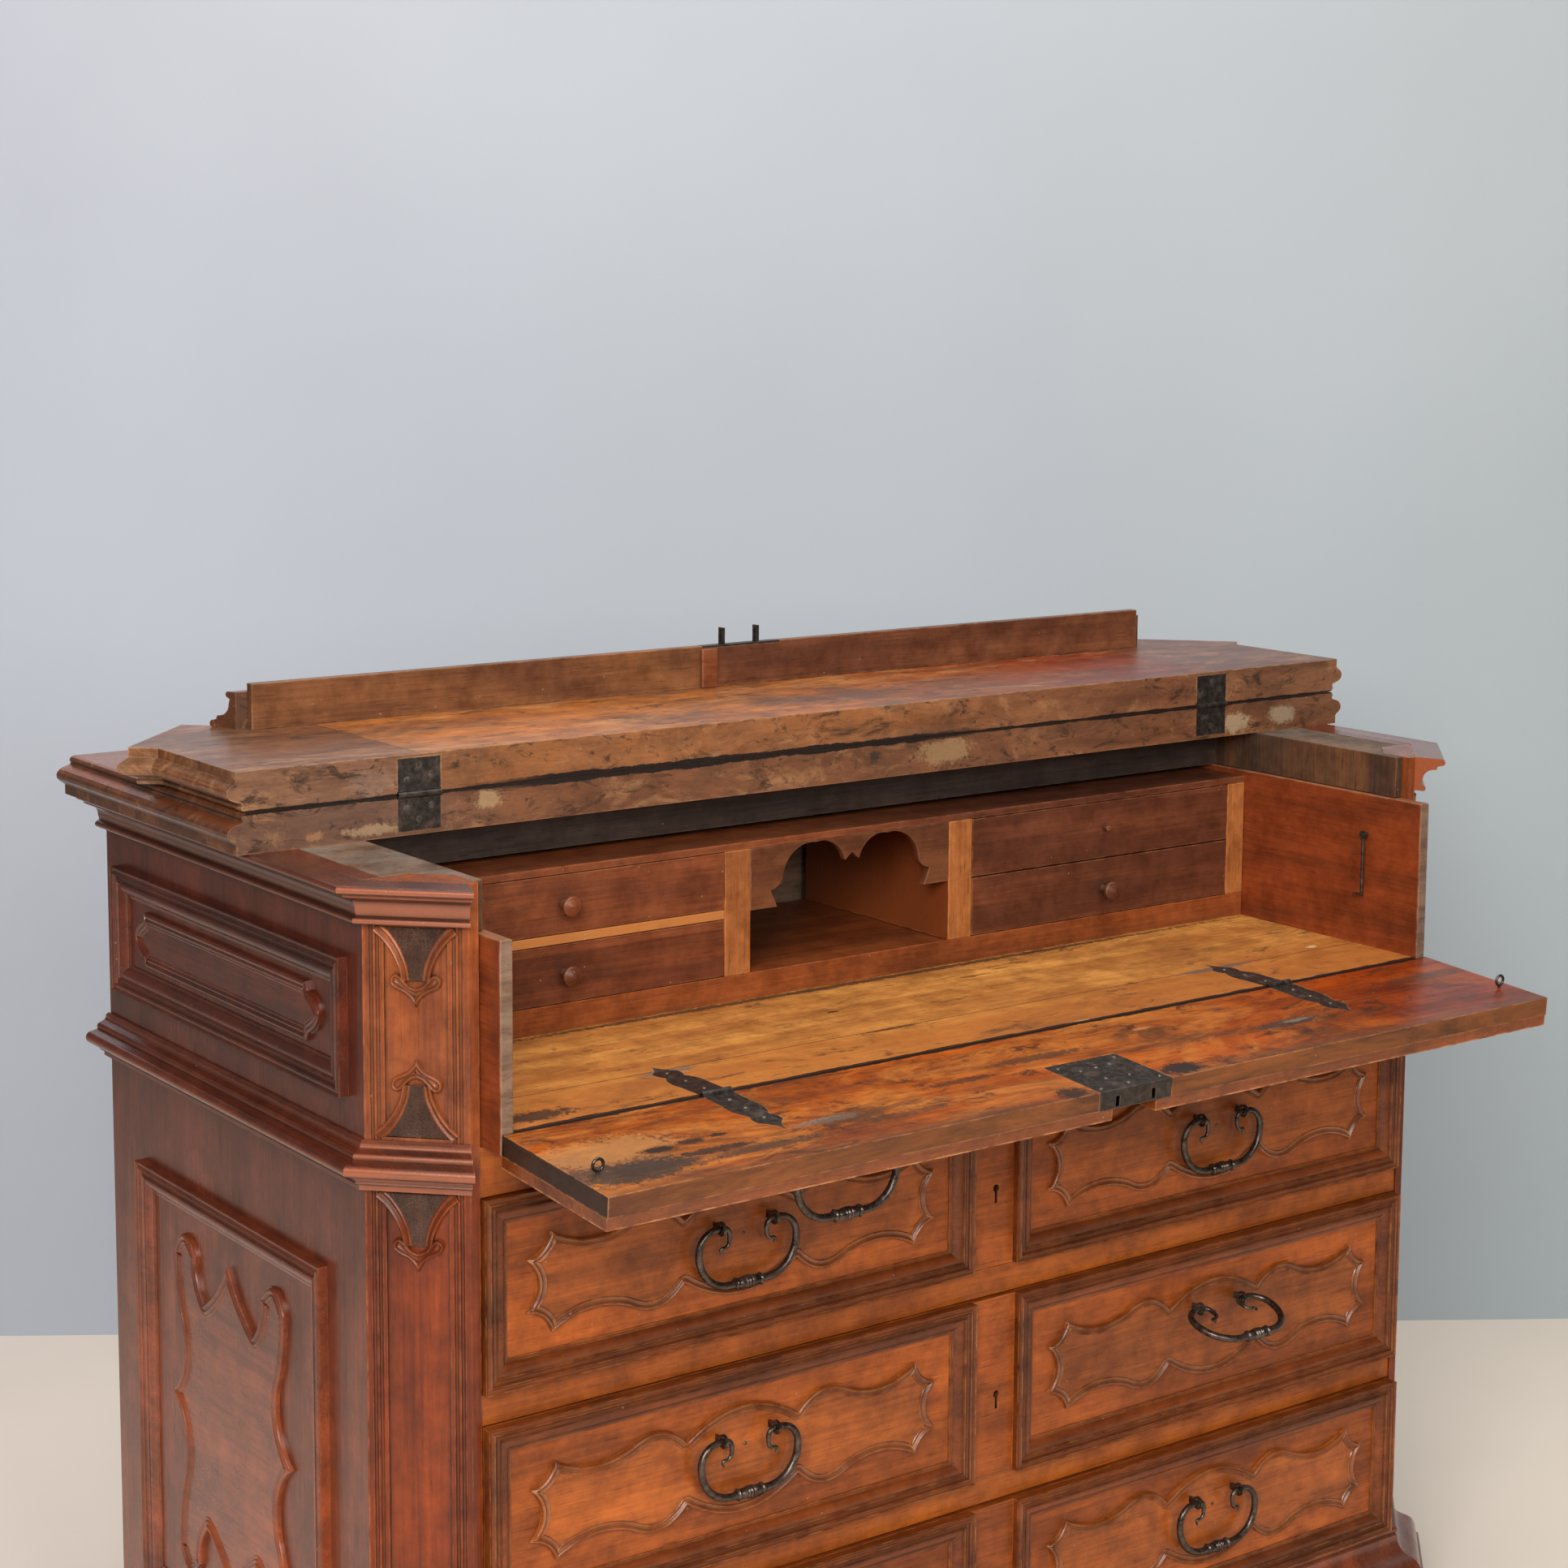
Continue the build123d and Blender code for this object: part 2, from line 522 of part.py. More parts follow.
upper_low = STRING_Z + STRING_HEIGHT + UPPER_FRAME_FOOT_MARGIN
upper_high = CASE_TOP - BED_HEIGHT - UPPER_FRAME_TOP_MARGIN
lower_low = BASE_TOP + LOWER_FRAME_FOOT_MARGIN
lower_high = STRING_Z - LOWER_FRAME_TOP_MARGIN
side_section = outline(FRAME_SHARES, SIDE_FRAME_WIDTH, SIDE_FRAME_HEIGHT)
upper_plane = side_plane((upper_low + upper_high) / 2)
lower_plane = side_plane((lower_low + lower_high) / 2)
side_pieces = [
    run_frame(side_section, upper_plane, UPPER_FRAME_LENGTH, upper_high - upper_low),
    run_frame(side_section, lower_plane, LOWER_FRAME_LENGTH, lower_high - lower_low),
    slab(
        outline(UPPER_PLAQUE_SHARES, UPPER_PLAQUE_HALF_LENGTH, UPPER_PLAQUE_HALF_HEIGHT),
        upper_plane, PLAQUE_RELIEF,
    ),
    slab(
        outline(LOWER_PLAQUE_SHARES, LOWER_PLAQUE_HALF_LENGTH, LOWER_PLAQUE_HALF_HEIGHT),
        lower_plane, PLAQUE_RELIEF,
    ),
]


# Folding top: two boards, hinged on their cut edges. The front one breaks out over the cants.
def ear_plan(reach):
    """The left front corner of the folding board at a given reach from the case faces."""
    slant = CANT - (EAR_BREAK + reach) * 2 ** 0.5
    side = (-reach, EAR_REACH + reach * MITRE_SLOPE)
    across = (slant - EAR_REACH - reach * 2 ** 0.5) / 2
    tip = (across, slant - across)
    corner = [side, tip, tip[::-1], side[::-1]]
    return [(p - HALF, q) for p, q in corner]


def folding_plan(reach):
    """Plan of the folding board at a given reach."""
    back = TOP_CUT_Y - CUT_GAP
    left = [(-HALF - reach, back)] + ear_plan(reach)
    return left + [(-x, y) for x, y in reversed(left)]


def fixed_plan(reach):
    """Plan of the fixed board at a given reach."""
    front = TOP_CUT_Y + CUT_GAP
    left = [(-HALF - reach, CASE_DEPTH), (-HALF - reach, front)]
    return left + [(-x, y) for x, y in reversed(left)]


def moulded_board(plan, thickness, z):
    """A board with a moulded edge, built up in thin mitred layers."""
    layers = []
    for low, high in zip(NOSE_SHARES, NOSE_SHARES[1:]):
        ends = []
        for share, level in (low, high):
            edge = Polyline(*plan(TOP_NOSE_PROJECTION * share), close=True)
            ends.append(Pos(0, 0, z + thickness * level) * make_face(edge))
        layers.append(loft(ends, ruled=True))
    return layers[0].fuse(*layers[1:])


def butt_pockets(y_side):
    """Recesses for the leaves of the two butt hinges in a cut edge."""
    cuts = []
    for x in (BUTT_LEFT, BUTT_RIGHT):
        low = TOP_Z - BUTT_HEIGHT
        edge = TOP_CUT_Y + y_side * CUT_GAP
        ys = sorted((edge - y_side * CUT_OVERRUN, edge + y_side * LEAF_THICKNESS))
        cuts.append(block(x - BUTT_WIDTH / 2, x + BUTT_WIDTH / 2, *ys, low, TOP_Z + CUT_OVERRUN))
        reach = BUTT_WIDTH / 2 + KNUCKLE_POCKET
        pocket = BUTT_KNUCKLE + KNUCKLE_POCKET
        cuts.append(barrel(pocket, x - reach, x + reach, TOP_CUT_Y, TOP_AXIS.position.Z))
    return cuts


def make_fixed_top():
    """The rear board, which stays on the case."""
    board = moulded_board(fixed_plan, TOP_THICKNESS, CASE_TOP)
    for cut in butt_pockets(1):
        board -= cut
    return board


def make_folding_top():
    """The front board, in its closed place over the writing drawer."""
    board = moulded_board(folding_plan, TOP_THICKNESS - TOP_SEAT_GAP, CASE_TOP + TOP_SEAT_GAP)
    for cut in butt_pockets(-1):
        board -= cut
    return board


def folded(shape):
    """A piece of the folding top, swung back on to the fixed board."""
    return shape.rotate(TOP_AXIS, -180)


fixed_top = make_fixed_top()
folding_top = make_folding_top()
fascia_y = (FASCIA_SETBACK - FASCIA_THICKNESS, FASCIA_SETBACK)
fascia_board = block(-DRAWER_HALF, DRAWER_HALF, *fascia_y, FASCIA_Z, CASE_TOP + TOP_SEAT_GAP)
plate_half = (STAPLE_SPACING / 2 + LOOP_THICKNESS) * 2
fascia_board -= block(
    -plate_half, plate_half, -CANT, FASCIA_SETBACK, FASCIA_Z - CUT_OVERRUN, FASCIA_Z + LOCK_WALL
)
fascia_run = [(-HALF, fascia_y[0]), (HALF, fascia_y[0])]
fascia_moulding = run_moulding(bed_section, fascia_run, CASE_TOP - BED_HEIGHT + TOP_SEAT_GAP)
fascia_moulding &= front_wedge(MITRE_GAP)


def make_staple_plate():
    """Iron plate under the fascia with two loops for the bolt of the flap lock."""
    plate = block(-plate_half, plate_half, *fascia_y, FASCIA_Z, FASCIA_Z + LOCK_WALL)
    for side in (-1, 1):
        x = side * STAPLE_SPACING / 2
        loop = block(
            x - LOOP_THICKNESS / 2, x + LOOP_THICKNESS / 2, LOOP_Y - LOOP_WIDTH / 2,
            LOOP_Y + LOOP_WIDTH / 2, FASCIA_Z - LOOP_HEIGHT, FASCIA_Z,
        )
        hole_low = FASCIA_Z - LOOP_HEIGHT + LOOP_BAR
        loop -= block(
            x - LOOP_THICKNESS, x + LOOP_THICKNESS, LOOP_Y - LOOP_EYE / 2,
            LOOP_Y + LOOP_EYE / 2, hole_low, FASCIA_Z - LOOP_BAR,
        )
        plate += loop
    return plate


staple_plate = make_staple_plate()


def knuckled(leaf, centre, radius, width, inner, fixed):
    """A hinge leaf with its knuckles: the fixed leaf has the two outer ones and the pin."""
    x, y, z = centre
    half = width / 2
    near = inner - KNUCKLE_GAP
    own = [(-half, -inner), (inner, half)] if fixed else [(-near, near)]
    others = [(-inner, inner)] if fixed else [(-half, -near), (near, half)]
    for low, high in others:
        leaf -= barrel(radius + KNUCKLE_GAP, x + low, x + high, y, z)
    for low, high in own:
        leaf += barrel(radius, x + low, x + high, y, z)
    if fixed:
        return leaf + barrel(PIN_RADIUS, x - half, x + half, y, z)
    return leaf - barrel(PIN_RADIUS + PIN_GAP, x - half, x + half, y, z)


def make_butt(x, y_side):
    """One leaf of a butt hinge of the top."""
    edge = TOP_CUT_Y + y_side * CUT_GAP
    ys = sorted((edge, edge + y_side * LEAF_THICKNESS))
    leaf = block(x - BUTT_WIDTH / 2, x + BUTT_WIDTH / 2, *ys, TOP_Z - BUTT_HEIGHT, TOP_Z)
    centre = (x, TOP_CUT_Y, TOP_AXIS.position.Z)
    return knuckled(leaf, centre, BUTT_KNUCKLE, BUTT_WIDTH, BUTT_WIDTH / 6, y_side > 0)


# Writing drawer.
def make_writing_side():
    """The left side board of the writing drawer."""
    return block(
        -DRAWER_HALF, -WRITING_INNER, FLAP_Y + END_GAP, WRITING_BACK_Y, WRITING_BOTTOM, WRITING_TOP
    )


writing_side = make_writing_side()
writing_back = block(
    -WRITING_INNER, WRITING_INNER, WRITING_BACK_Y - WRITING_BACK_THICKNESS, WRITING_BACK_Y,
    WRITING_BOTTOM, NEST_TOP_Z,
)


def strap_slab(x, y_side, thickness):
    """The outline of a strap leaf, let into the floor or the flap, with its point outwards."""
    plane = Plane(
        origin=(x, FLAP_Y, FLOOR_Z - LEAF_THICKNESS), x_dir=(y_side, 0, 0), z_dir=(0, 0, 1)
    )
    return slab(outline(STRAP_SHARES, STRAP_WIDTH, STRAP_LENGTH), plane, thickness)


def strap_leaf(x, y_side):
    """One leaf of a strap hinge of the flap."""
    leaf = strap_slab(x, y_side, LEAF_THICKNESS)
    centre = (x, FLAP_Y, FLOOR_Z)
    return knuckled(leaf, centre, STRAP_KNUCKLE, STRAP_WIDTH, STRAP_WIDTH / 4, y_side > 0)


def strap_pockets(y_side):
    """Sinkings for the strap leaves and clearance for their knuckles."""
    cuts = []
    for side in (-1, 1):
        x = side * STRAP_X
        cuts.append(strap_slab(x, y_side, CUT_OVERRUN))
        reach = STRAP_WIDTH / 2 + KNUCKLE_POCKET
        cuts.append(barrel(STRAP_KNUCKLE + KNUCKLE_POCKET, x - reach, x + reach, FLAP_Y, FLOOR_Z))
    return cuts


writing_floor = block(
    -WRITING_INNER, WRITING_INNER, FLAP_Y + HINGE_GAP, WRITING_BACK_Y - WRITING_BACK_THICKNESS,
    WRITING_BOTTOM, FLOOR_Z,
)
for cut in strap_pockets(1):
    writing_floor -= cut
nest_back = min(NEST_Y + NEST_DEPTH, WRITING_BACK_Y - WRITING_BACK_THICKNESS)
nest_top = block(-WRITING_INNER, WRITING_INNER, NEST_Y, nest_back, BAY_TOP, NEST_TOP_Z)


def make_stile():
    """Left-hand stile beside the pigeonhole, with the partition boards behind it."""
    stile = block(-BAY_INNER, -STILE_INNER, NEST_Y, NEST_Y + STILE_BOARD_THICKNESS, BAY_Z, BAY_TOP)
    for x in (-BAY_INNER, -STILE_INNER - STILE_BOARD_THICKNESS):
        stile += block(x, x + STILE_BOARD_THICKNESS, NEST_Y, nest_back, BAY_Z, BAY_TOP)
    return stile


def make_end_stile():
    """Left-hand end stile, against the side of the writing drawer."""
    return block(-WRITING_INNER, -BAY_OUTER, NEST_Y, nest_back, BAY_Z, BAY_TOP)


stile = make_stile()
end_stile = make_end_stile()
foot_rail = block(-WRITING_INNER, WRITING_INNER, NEST_Y, NEST_Y + FOOT_RAIL_DEPTH, FLOOR_Z, BAY_Z)
bay_floor = block(
    -WRITING_INNER, WRITING_INNER, NEST_Y + FOOT_RAIL_DEPTH, nest_back,
    BAY_Z - NEST_SHELF_THICKNESS, BAY_Z,
)
shelf_low = (BAY_Z + BAY_TOP - NEST_SHELF_THICKNESS) / 2
shelf = block(-BAY_OUTER, -BAY_INNER, NEST_Y, nest_back, shelf_low, shelf_low + NEST_SHELF_THICKNESS)
thin_shelf = block(
    BAY_INNER, BAY_OUTER, NEST_Y + NEST_DRAWER_FRONT, nest_back,
    shelf_low, shelf_low + NEST_SHELF_THICKNESS,
)
apron_top = Plane(
    origin=(0, NEST_Y + APRON_THICKNESS, BAY_TOP), x_dir=(1, 0, 0), z_dir=(0, -1, 0)
)
arch_apron = slab(outline(APRON_SHARES, STILE_INNER, (BAY_TOP - BAY_Z) / 2), apron_top, APRON_THICKNESS)


def make_knob(x, z):
    """A small turned knob with a ring and a button, on the front of a nest drawer."""
    return Pos(x, NEST_Y, z) * Rot(QUARTER, 0, 0) * turned(KNOB_SHARES, KNOB_RADIUS, KNOB_LENGTH)


def make_nest_drawer(side, low, high, lapped, knob):
    """A small drawer with its front, walls, bottom and knob."""
    x0 = BAY_INNER + NEST_DRAWER_GAP
    x1 = BAY_OUTER - NEST_DRAWER_GAP
    front_low = low + (NEST_DRAWER_GAP if not lapped else NEST_DRAWER_GAP - NEST_SHELF_THICKNESS / 2)
    back = nest_back - NEST_DRAWER_GAP
    front_back = NEST_Y + NEST_DRAWER_FRONT - NEST_DRAWER_GAP
    walls_low = low + NEST_DRAWER_GAP
    top = high - NEST_DRAWER_GAP
    front_high = top
    if lapped and low < shelf_low:
        front_low = walls_low
        front_high = top + NEST_SHELF_THICKNESS / 2
    front = block(x0, x1, NEST_Y, front_back, front_low, front_high)
    tray = block(x0, x1, front_back, back, walls_low, top - NEST_DRAWER_WALL)
    tray -= block(
        x0 + NEST_DRAWER_WALL, x1 - NEST_DRAWER_WALL, front_back, back - NEST_DRAWER_WALL,
        walls_low + NEST_DRAWER_WALL, top,
    )
    middle = (x0 + x1) / 2
    z = (low + high) / 2
    if knob:
        grip = make_knob(middle, z)
    else:
        peg = Cylinder(PEG_RADIUS, PEG_LENGTH)
        grip = Pos(middle, NEST_Y - PEG_LENGTH / 2, z) * Rot(QUARTER, 0, 0) * peg
    pieces = [front, tray, grip]
    return pieces if side > 0 else [flipped(piece) for piece in pieces]


# Hooks on the inner faces of the writing drawer.
def make_hook():
    """The right-hand iron hook, hanging, with its ring on a stud in the drawer side."""
    half = HOOK_RING_WIDTH / 2
    ring = barrel(HOOK_RING, HOOK_PLANE - half, HOOK_PLANE + half, HOOK_Y, HOOK_Z)
    bore = PIN_RADIUS + HOOK_RING_GAP
    ring -= barrel(bore, HOOK_PLANE - HOOK_RING, HOOK_PLANE + HOOK_RING, HOOK_Y, HOOK_Z)
    shank = HOOK_LENGTH - HOOK_RING + HOOK_WIRE / 2
    foot_point = Pos(HOOK_PLANE, HOOK_Y, HOOK_Z - HOOK_LENGTH)
    ring += foot_point * Pos(0, 0, shank / 2) * Cylinder(HOOK_WIRE, shank)
    ring += foot_point * Pos(0, HOOK_TIP / 2, 0) * Rot(QUARTER, 0, 0) * Cylinder(HOOK_WIRE, HOOK_TIP)
    return ring + foot_point * Sphere(HOOK_WIRE)


hook = make_hook()
stud_neck = HOOK_PLANE - HOOK_RING_WIDTH / 2 - STUD_HEAD_GAP
hook_stud = barrel(PIN_RADIUS, stud_neck, WRITING_INNER, HOOK_Y, HOOK_Z)
hook_stud += barrel(STUD_HEAD, stud_neck - STUD_HEAD_THICKNESS, stud_neck, HOOK_Y, HOOK_Z)


# Fall flap, laid out level and then lowered by its droop.
def lowered(shape):
    """A piece of the flap, turned down by the droop of the open flap."""
    return shape.rotate(FLAP_AXIS, FLAP_DROOP_DEGREES)


def keyhole_cut(plane, depth):
    """A keyhole through a board, its round at the plane's origin."""
    hole = Circle(KEYHOLE_RADIUS) + Pos(0, -KEYHOLE_LENGTH / 2) * Rectangle(KEYHOLE_SLOT, KEYHOLE_LENGTH)
    return extrude(plane * hole, amount=depth, dir=-plane.z_dir)


def under_plane(x, y, z):
    """A plane on the underside of the open flap, its Y towards the free edge."""
    return Plane(origin=(x, y, z), x_dir=(1, 0, 0), z_dir=(0, 0, -1))


flap_board = block(
    -FLAP_HALF, FLAP_HALF, FLAP_FRONT_Y, FLAP_Y - HINGE_GAP, FLAP_UNDER, FLOOR_Z
)
for cut in strap_pockets(-1):
    flap_board -= cut
lock_x = LOCK_CASE_WIDTH / 2
lock_back = FLAP_FRONT_Y + LOCK_CASE_DEPTH
flap_board -= block(-lock_x, lock_x, FLAP_FRONT_Y - CUT_OVERRUN, lock_back, LOCK_Z, FLOOR_Z + CUT_OVERRUN)
flap_middle = FLAP_Y - FLAP_LENGTH / 2
key_plane = under_plane(0, FLAP_FRONT_Y + LOCK_KEY_DEPTH, FLAP_UNDER)
flap_board -= keyhole_cut(key_plane, FLAP_BOARD_THICKNESS)

frame_section = outline(FRAME_SHARES, FRAME_WIDTH, FRAME_HEIGHT)
flap_frame_half = FLAP_HALF - CENTRE_STRIP / 2
flap_frame_height = FLAP_LENGTH - HINGE_GAP * 2
flap_panel_x = (FLAP_HALF + CENTRE_STRIP / 2) / 2
flap_pieces = []
for side in (-1, 1):
    under = under_plane(side * flap_panel_x, flap_middle, FLAP_UNDER)
    flap_pieces.append(run_frame(frame_section, under, flap_frame_half, flap_frame_height))
    flap_pieces.append(slab(
        outline(CARTOUCHE_SHARES, PLAQUE_HALF_LENGTH, PLAQUE_HALF_HEIGHT), under, PLAQUE_RELIEF
    ))


def make_lock_case():
    """Iron lock case at the free edge of the flap, slotted for the two staple loops."""
    case = block(-lock_x, lock_x, FLAP_FRONT_Y, lock_back, LOCK_Z, FLOOR_Z)
    case -= block(
        -lock_x + LOCK_WALL, lock_x - LOCK_WALL, FLAP_FRONT_Y + LOCK_WALL, lock_back - LOCK_WALL,
        LOCK_Z + LOCK_WALL, FLOOR_Z - LOCK_WALL,
    )
    slot_z = FLOOR_Z - SLOT_DEPTH
    for side in (-1, 1):
        x = side * STAPLE_SPACING / 2
        half = LOOP_THICKNESS / 2 + SLOT_GAP
        tall = LOOP_WIDTH / 2 + SLOT_GAP
        case -= block(
            x - half, x + half, FLAP_FRONT_Y - CUT_OVERRUN, FLAP_FRONT_Y + LOCK_WALL + CUT_OVERRUN,
            slot_z - tall, slot_z + tall,
        )
    case -= keyhole_cut(under_plane(0, key_plane.origin.Y, LOCK_Z), LOCK_WALL)
    return case


def make_bolt():
    """The double bolt of the flap lock, drawn back clear of the loops."""
    slot_z = FLOOR_Z - SLOT_DEPTH
    loop_depth = LOOP_HEIGHT - FASCIA_GAP
    bar_y = FLAP_FRONT_Y + loop_depth + BOLT_BAR / 2
    deep = LOCK_CASE_THICKNESS - SLOT_DEPTH - LOCK_WALL - BOLT_GAP
    start = -STAPLE_SPACING / 2 - LOOP_THICKNESS - BOLT_REACH
    bolt = block(
        start - BOLT_BAR, STAPLE_SPACING / 2, bar_y, bar_y + BOLT_BAR, slot_z - deep, slot_z + deep
    )
    for side in (-1, 1):
        tip = side * STAPLE_SPACING / 2 - LOOP_THICKNESS / 2 - SLOT_GAP
        root = tip - BOLT_REACH
        finger_y = FLAP_FRONT_Y + LOOP_HEIGHT / 2 - FASCIA_GAP
        thin = BOLT_FINGER / 2
        bolt += block(root - BOLT_BAR, tip, finger_y - thin, finger_y + thin, slot_z - thin, slot_z + thin)
        bolt += block(root - BOLT_BAR, root, finger_y - thin, bar_y, slot_z - thin, slot_z + thin)
    return bolt


def make_eye():
    """A ring on a stem on the inner face of the flap, just below the hook when the flap is shut."""
    y = FLAP_Y - HOOK_RISE + HOOK_WIRE + EYE_WIRE + KNUCKLE_GAP
    ring = Pos(HOOK_PLANE, y, FLOOR_Z + EYE_STAND) * Rot(QUARTER, 0, 0) * Torus(EYE_RADIUS, EYE_WIRE)
    stem_height = EYE_STAND - EYE_RADIUS
    stem = Pos(HOOK_PLANE, y, FLOOR_Z + stem_height / 2) * Cylinder(EYE_WIRE, stem_height)
    return ring + stem


def make_bail():
    """A C-scroll bail: pivot line on the X axis, hanging down, with a ringed collar."""
    right = [(BAIL_HALF_WIDTH * x, BAIL_HALF_WIDTH * z) for x, z in CURL_SHARES]
    right += [(BAIL_HALF_WIDTH, 0), (BAIL_HALF_WIDTH, -BAIL_DROP)]
    left = [(-x, z) for x, z in reversed(right)]
    radii = [BAIL_HALF_WIDTH * share for share in CURL_RADIUS_SHARES]
    path = FilletPolyline(*[(x, 0, z) for x, z in right + left], radius=radii + radii[::-1])
    section = Plane(origin=path @ 0, z_dir=path % 0) * RegularPolygon(BAIL_WIRE, BAIL_SIDES)
    wire = sweep(section, path=path)
    half = BAIL_COLLAR_LENGTH / 2
    collar = barrel((BAIL_WIRE + BAIL_COLLAR) / 2, -half, half, 0, -BAIL_DROP)
    for k in (-1, 0, 1):
        at = k * (half - BAIL_RING_WIDTH / 2)
        ring = BAIL_RING_WIDTH / 2
        collar += barrel(BAIL_COLLAR, at - ring, at + ring, 0, -BAIL_DROP)
    return wire + collar


def make_staples(depth):
    """The two eyes that hold a bail: rings round its wire, with shanks into the wood."""
    staples = []
    for side in (-1, 1):
        x = side * STAPLE_X
        half = STAPLE_THICKNESS / 2
        outer = BAIL_WIRE + STAPLE_GAP + STAPLE_WALL
        eye = barrel(outer, x - half, x + half, 0, 0)
        eye += block(x - half, x + half, 0, depth, -outer / 2, outer / 2)
        eye -= barrel(BAIL_WIRE + STAPLE_GAP, x - half - CUT_OVERRUN, x + half + CUT_OVERRUN, 0, 0)
        staples.append(eye)
    return staples


bail = make_bail()
flap_bail_x = flap_panel_x - FLAP_BAIL_SHIFT
flap_bail_depth = BAIL_COLLAR + FLAP_BAIL_CLEARANCE
flap_bail_at = Vector(
    0, FLAP_Y - FLAP_BAIL_PIVOT, FLAP_UNDER - PLAQUE_RELIEF - flap_bail_depth
)


def flap_bail(side):
    """A bail of the open flap: the left one hangs plumb, the right one lies back along the flap."""
    at = lowered_point(flap_bail_at)
    hung = Rot(LAID_BAIL_DEGREES, 0, 0) * bail if side > 0 else bail
    return Pos(side * flap_bail_x, at.Y, at.Z) * hung


def lowered_point(point):
    """Where a point of the level flap comes to when the flap droops."""
    return Vertex(*point).rotate(FLAP_AXIS, FLAP_DROOP_DEGREES).center()


def flap_staples(side):
    """The eyes of a flap bail, with their shanks up into the flap."""
    upright = [Rot(-QUARTER, 0, 0) * staple for staple in make_staples(flap_bail_depth)]
    return [
        lowered(Pos(side * flap_bail_x, flap_bail_at.Y, flap_bail_at.Z) * Rot(180, 0, 0) * staple)
        for staple in upright
    ]


# Long drawers.
def front_plane(x, z, y):
    """An upright plane on a drawer front, its X to the right and its normal forwards."""
    return Plane(origin=(x, y, z), x_dir=(1, 0, 0), z_dir=(0, -1, 0))


def make_long_drawer(row):
    """Front, box, mouldings, iron and the two bails of one long drawer."""
    low = ROW_Z[row] + SEAT_GAP
    high = ROW_Z[row] + ROW_HEIGHTS[row] - RUNNING_GAP
    middle = (low + high) / 2
    out = Pos(0, -DRAWER_PROUD[row], 0)
    front_back = RAIL_SETBACK + FRONT_THICKNESS
    front = block(-DRAWER_HALF, DRAWER_HALF, RAIL_SETBACK, front_back, low, high)
    panel_width = DRAWER_HALF - CENTRE_STRIP / 2
    mouldings = []
    iron = []
    for side in (-1, 1):
        x = side * PANEL_X
        front -= block(
            x - panel_width / 2, x + panel_width / 2, RAIL_SETBACK - CUT_OVERRUN, PANEL_Y,
            low - CUT_OVERRUN, high + CUT_OVERRUN,
        )
        ground = front_plane(x, middle, PANEL_Y)
        mouldings.append(run_frame(frame_section, ground, panel_width, high - low))
        mouldings.append(slab(
            outline(CARTOUCHE_SHARES, PLAQUE_HALF_LENGTH, PLAQUE_HALF_HEIGHT), ground, PLAQUE_RELIEF
        ))
        for staple in make_staples(PLAQUE_Y - BAIL_Y):
            iron.append(Pos(x, BAIL_Y, middle + BAIL_RISE[row]) * staple)
    key_z = middle - KEYHOLE_DROP + KEYHOLE_LENGTH / 2
    front -= keyhole_cut(front_plane(KEYHOLE_X, key_z, RAIL_SETBACK), FRONT_THICKNESS)
    lock = block(
        KEYHOLE_X - LOCK_WIDTH / 2, KEYHOLE_X + LOCK_WIDTH / 2, front_back, front_back + LOCK_DEPTH,
        middle - KEYHOLE_DROP - LOCK_HEIGHT / 2, middle - KEYHOLE_DROP + LOCK_HEIGHT / 2,
    )
    lock -= keyhole_cut(front_plane(KEYHOLE_X, key_z, front_back), LOCK_DEPTH / 2)
    iron.append(lock)
    box_top = high - BOX_HEADROOM
    box_back = INNER_BACK - BOX_REAR_GAP
    wall = block(-DRAWER_HALF, -DRAWER_HALF + BOX_WALL, front_back, box_back, low, box_top)
    inner = DRAWER_HALF - BOX_WALL
    box = [
        wall, flipped(wall),
        block(-inner, inner, box_back - BOX_WALL, box_back, low, box_top),
        block(-inner, inner, front_back, box_back - BOX_WALL, low, low + BOX_BOTTOM),
    ]
    prefix = f"{row}_drawer"
    save(f"{prefix}_front", out * front)
    save(f"{prefix}_box", *[out * piece for piece in box])
    save(f"{prefix}_mouldings", *[out * piece for piece in mouldings])
    save(f"{prefix}_ironwork", *[out * piece for piece in iron])
    for side, name in ((-1, "left"), (1, "right")):
        raised = row == "middle" and side > 0
        hung = Rot(-RAISED_BAIL_DEGREES, 0, 0) * bail if raised else bail
        at = Pos(side * PANEL_X, BAIL_Y, middle + BAIL_RISE[row])
        save(f"{prefix}_handle_{name}", out * at * hung)


os.makedirs("parts", exist_ok=True)

save("left_side", left_side)
save("right_side", flipped(left_side))
save("left_post", left_post)
save("right_post", flipped(left_post))
save("side_mouldings", *side_pieces, *[flipped(piece) for piece in side_pieces])
save("pilaster_carvings", *tulips, *[flipped(piece) for piece in tulips])
save("case_mouldings", string_run, flipped(string_run), bed_run, flipped(bed_run))
save("base_moulding", base_moulding)
save("back_boards", *back_boards)
save("front_rails", *front_rails)
save("inner_frame", *inner_frame)
save("feet", *feet)
save("top_side_rails", left_rail, flipped(left_rail))
save("top_cross_rail", cross_rail)
save("fixed_top", fixed_top)
save("top_hinge_fixed_leaves", make_butt(BUTT_LEFT, 1), make_butt(BUTT_RIGHT, 1))

save("folding_top", folded(folding_top))
save("fascia_board", folded(fascia_board))
save("fascia_moulding", folded(fascia_moulding))
save("staple_plate", folded(staple_plate))
save("top_hinge_folding_leaves", folded(make_butt(BUTT_LEFT, -1)), folded(make_butt(BUTT_RIGHT, -1)))

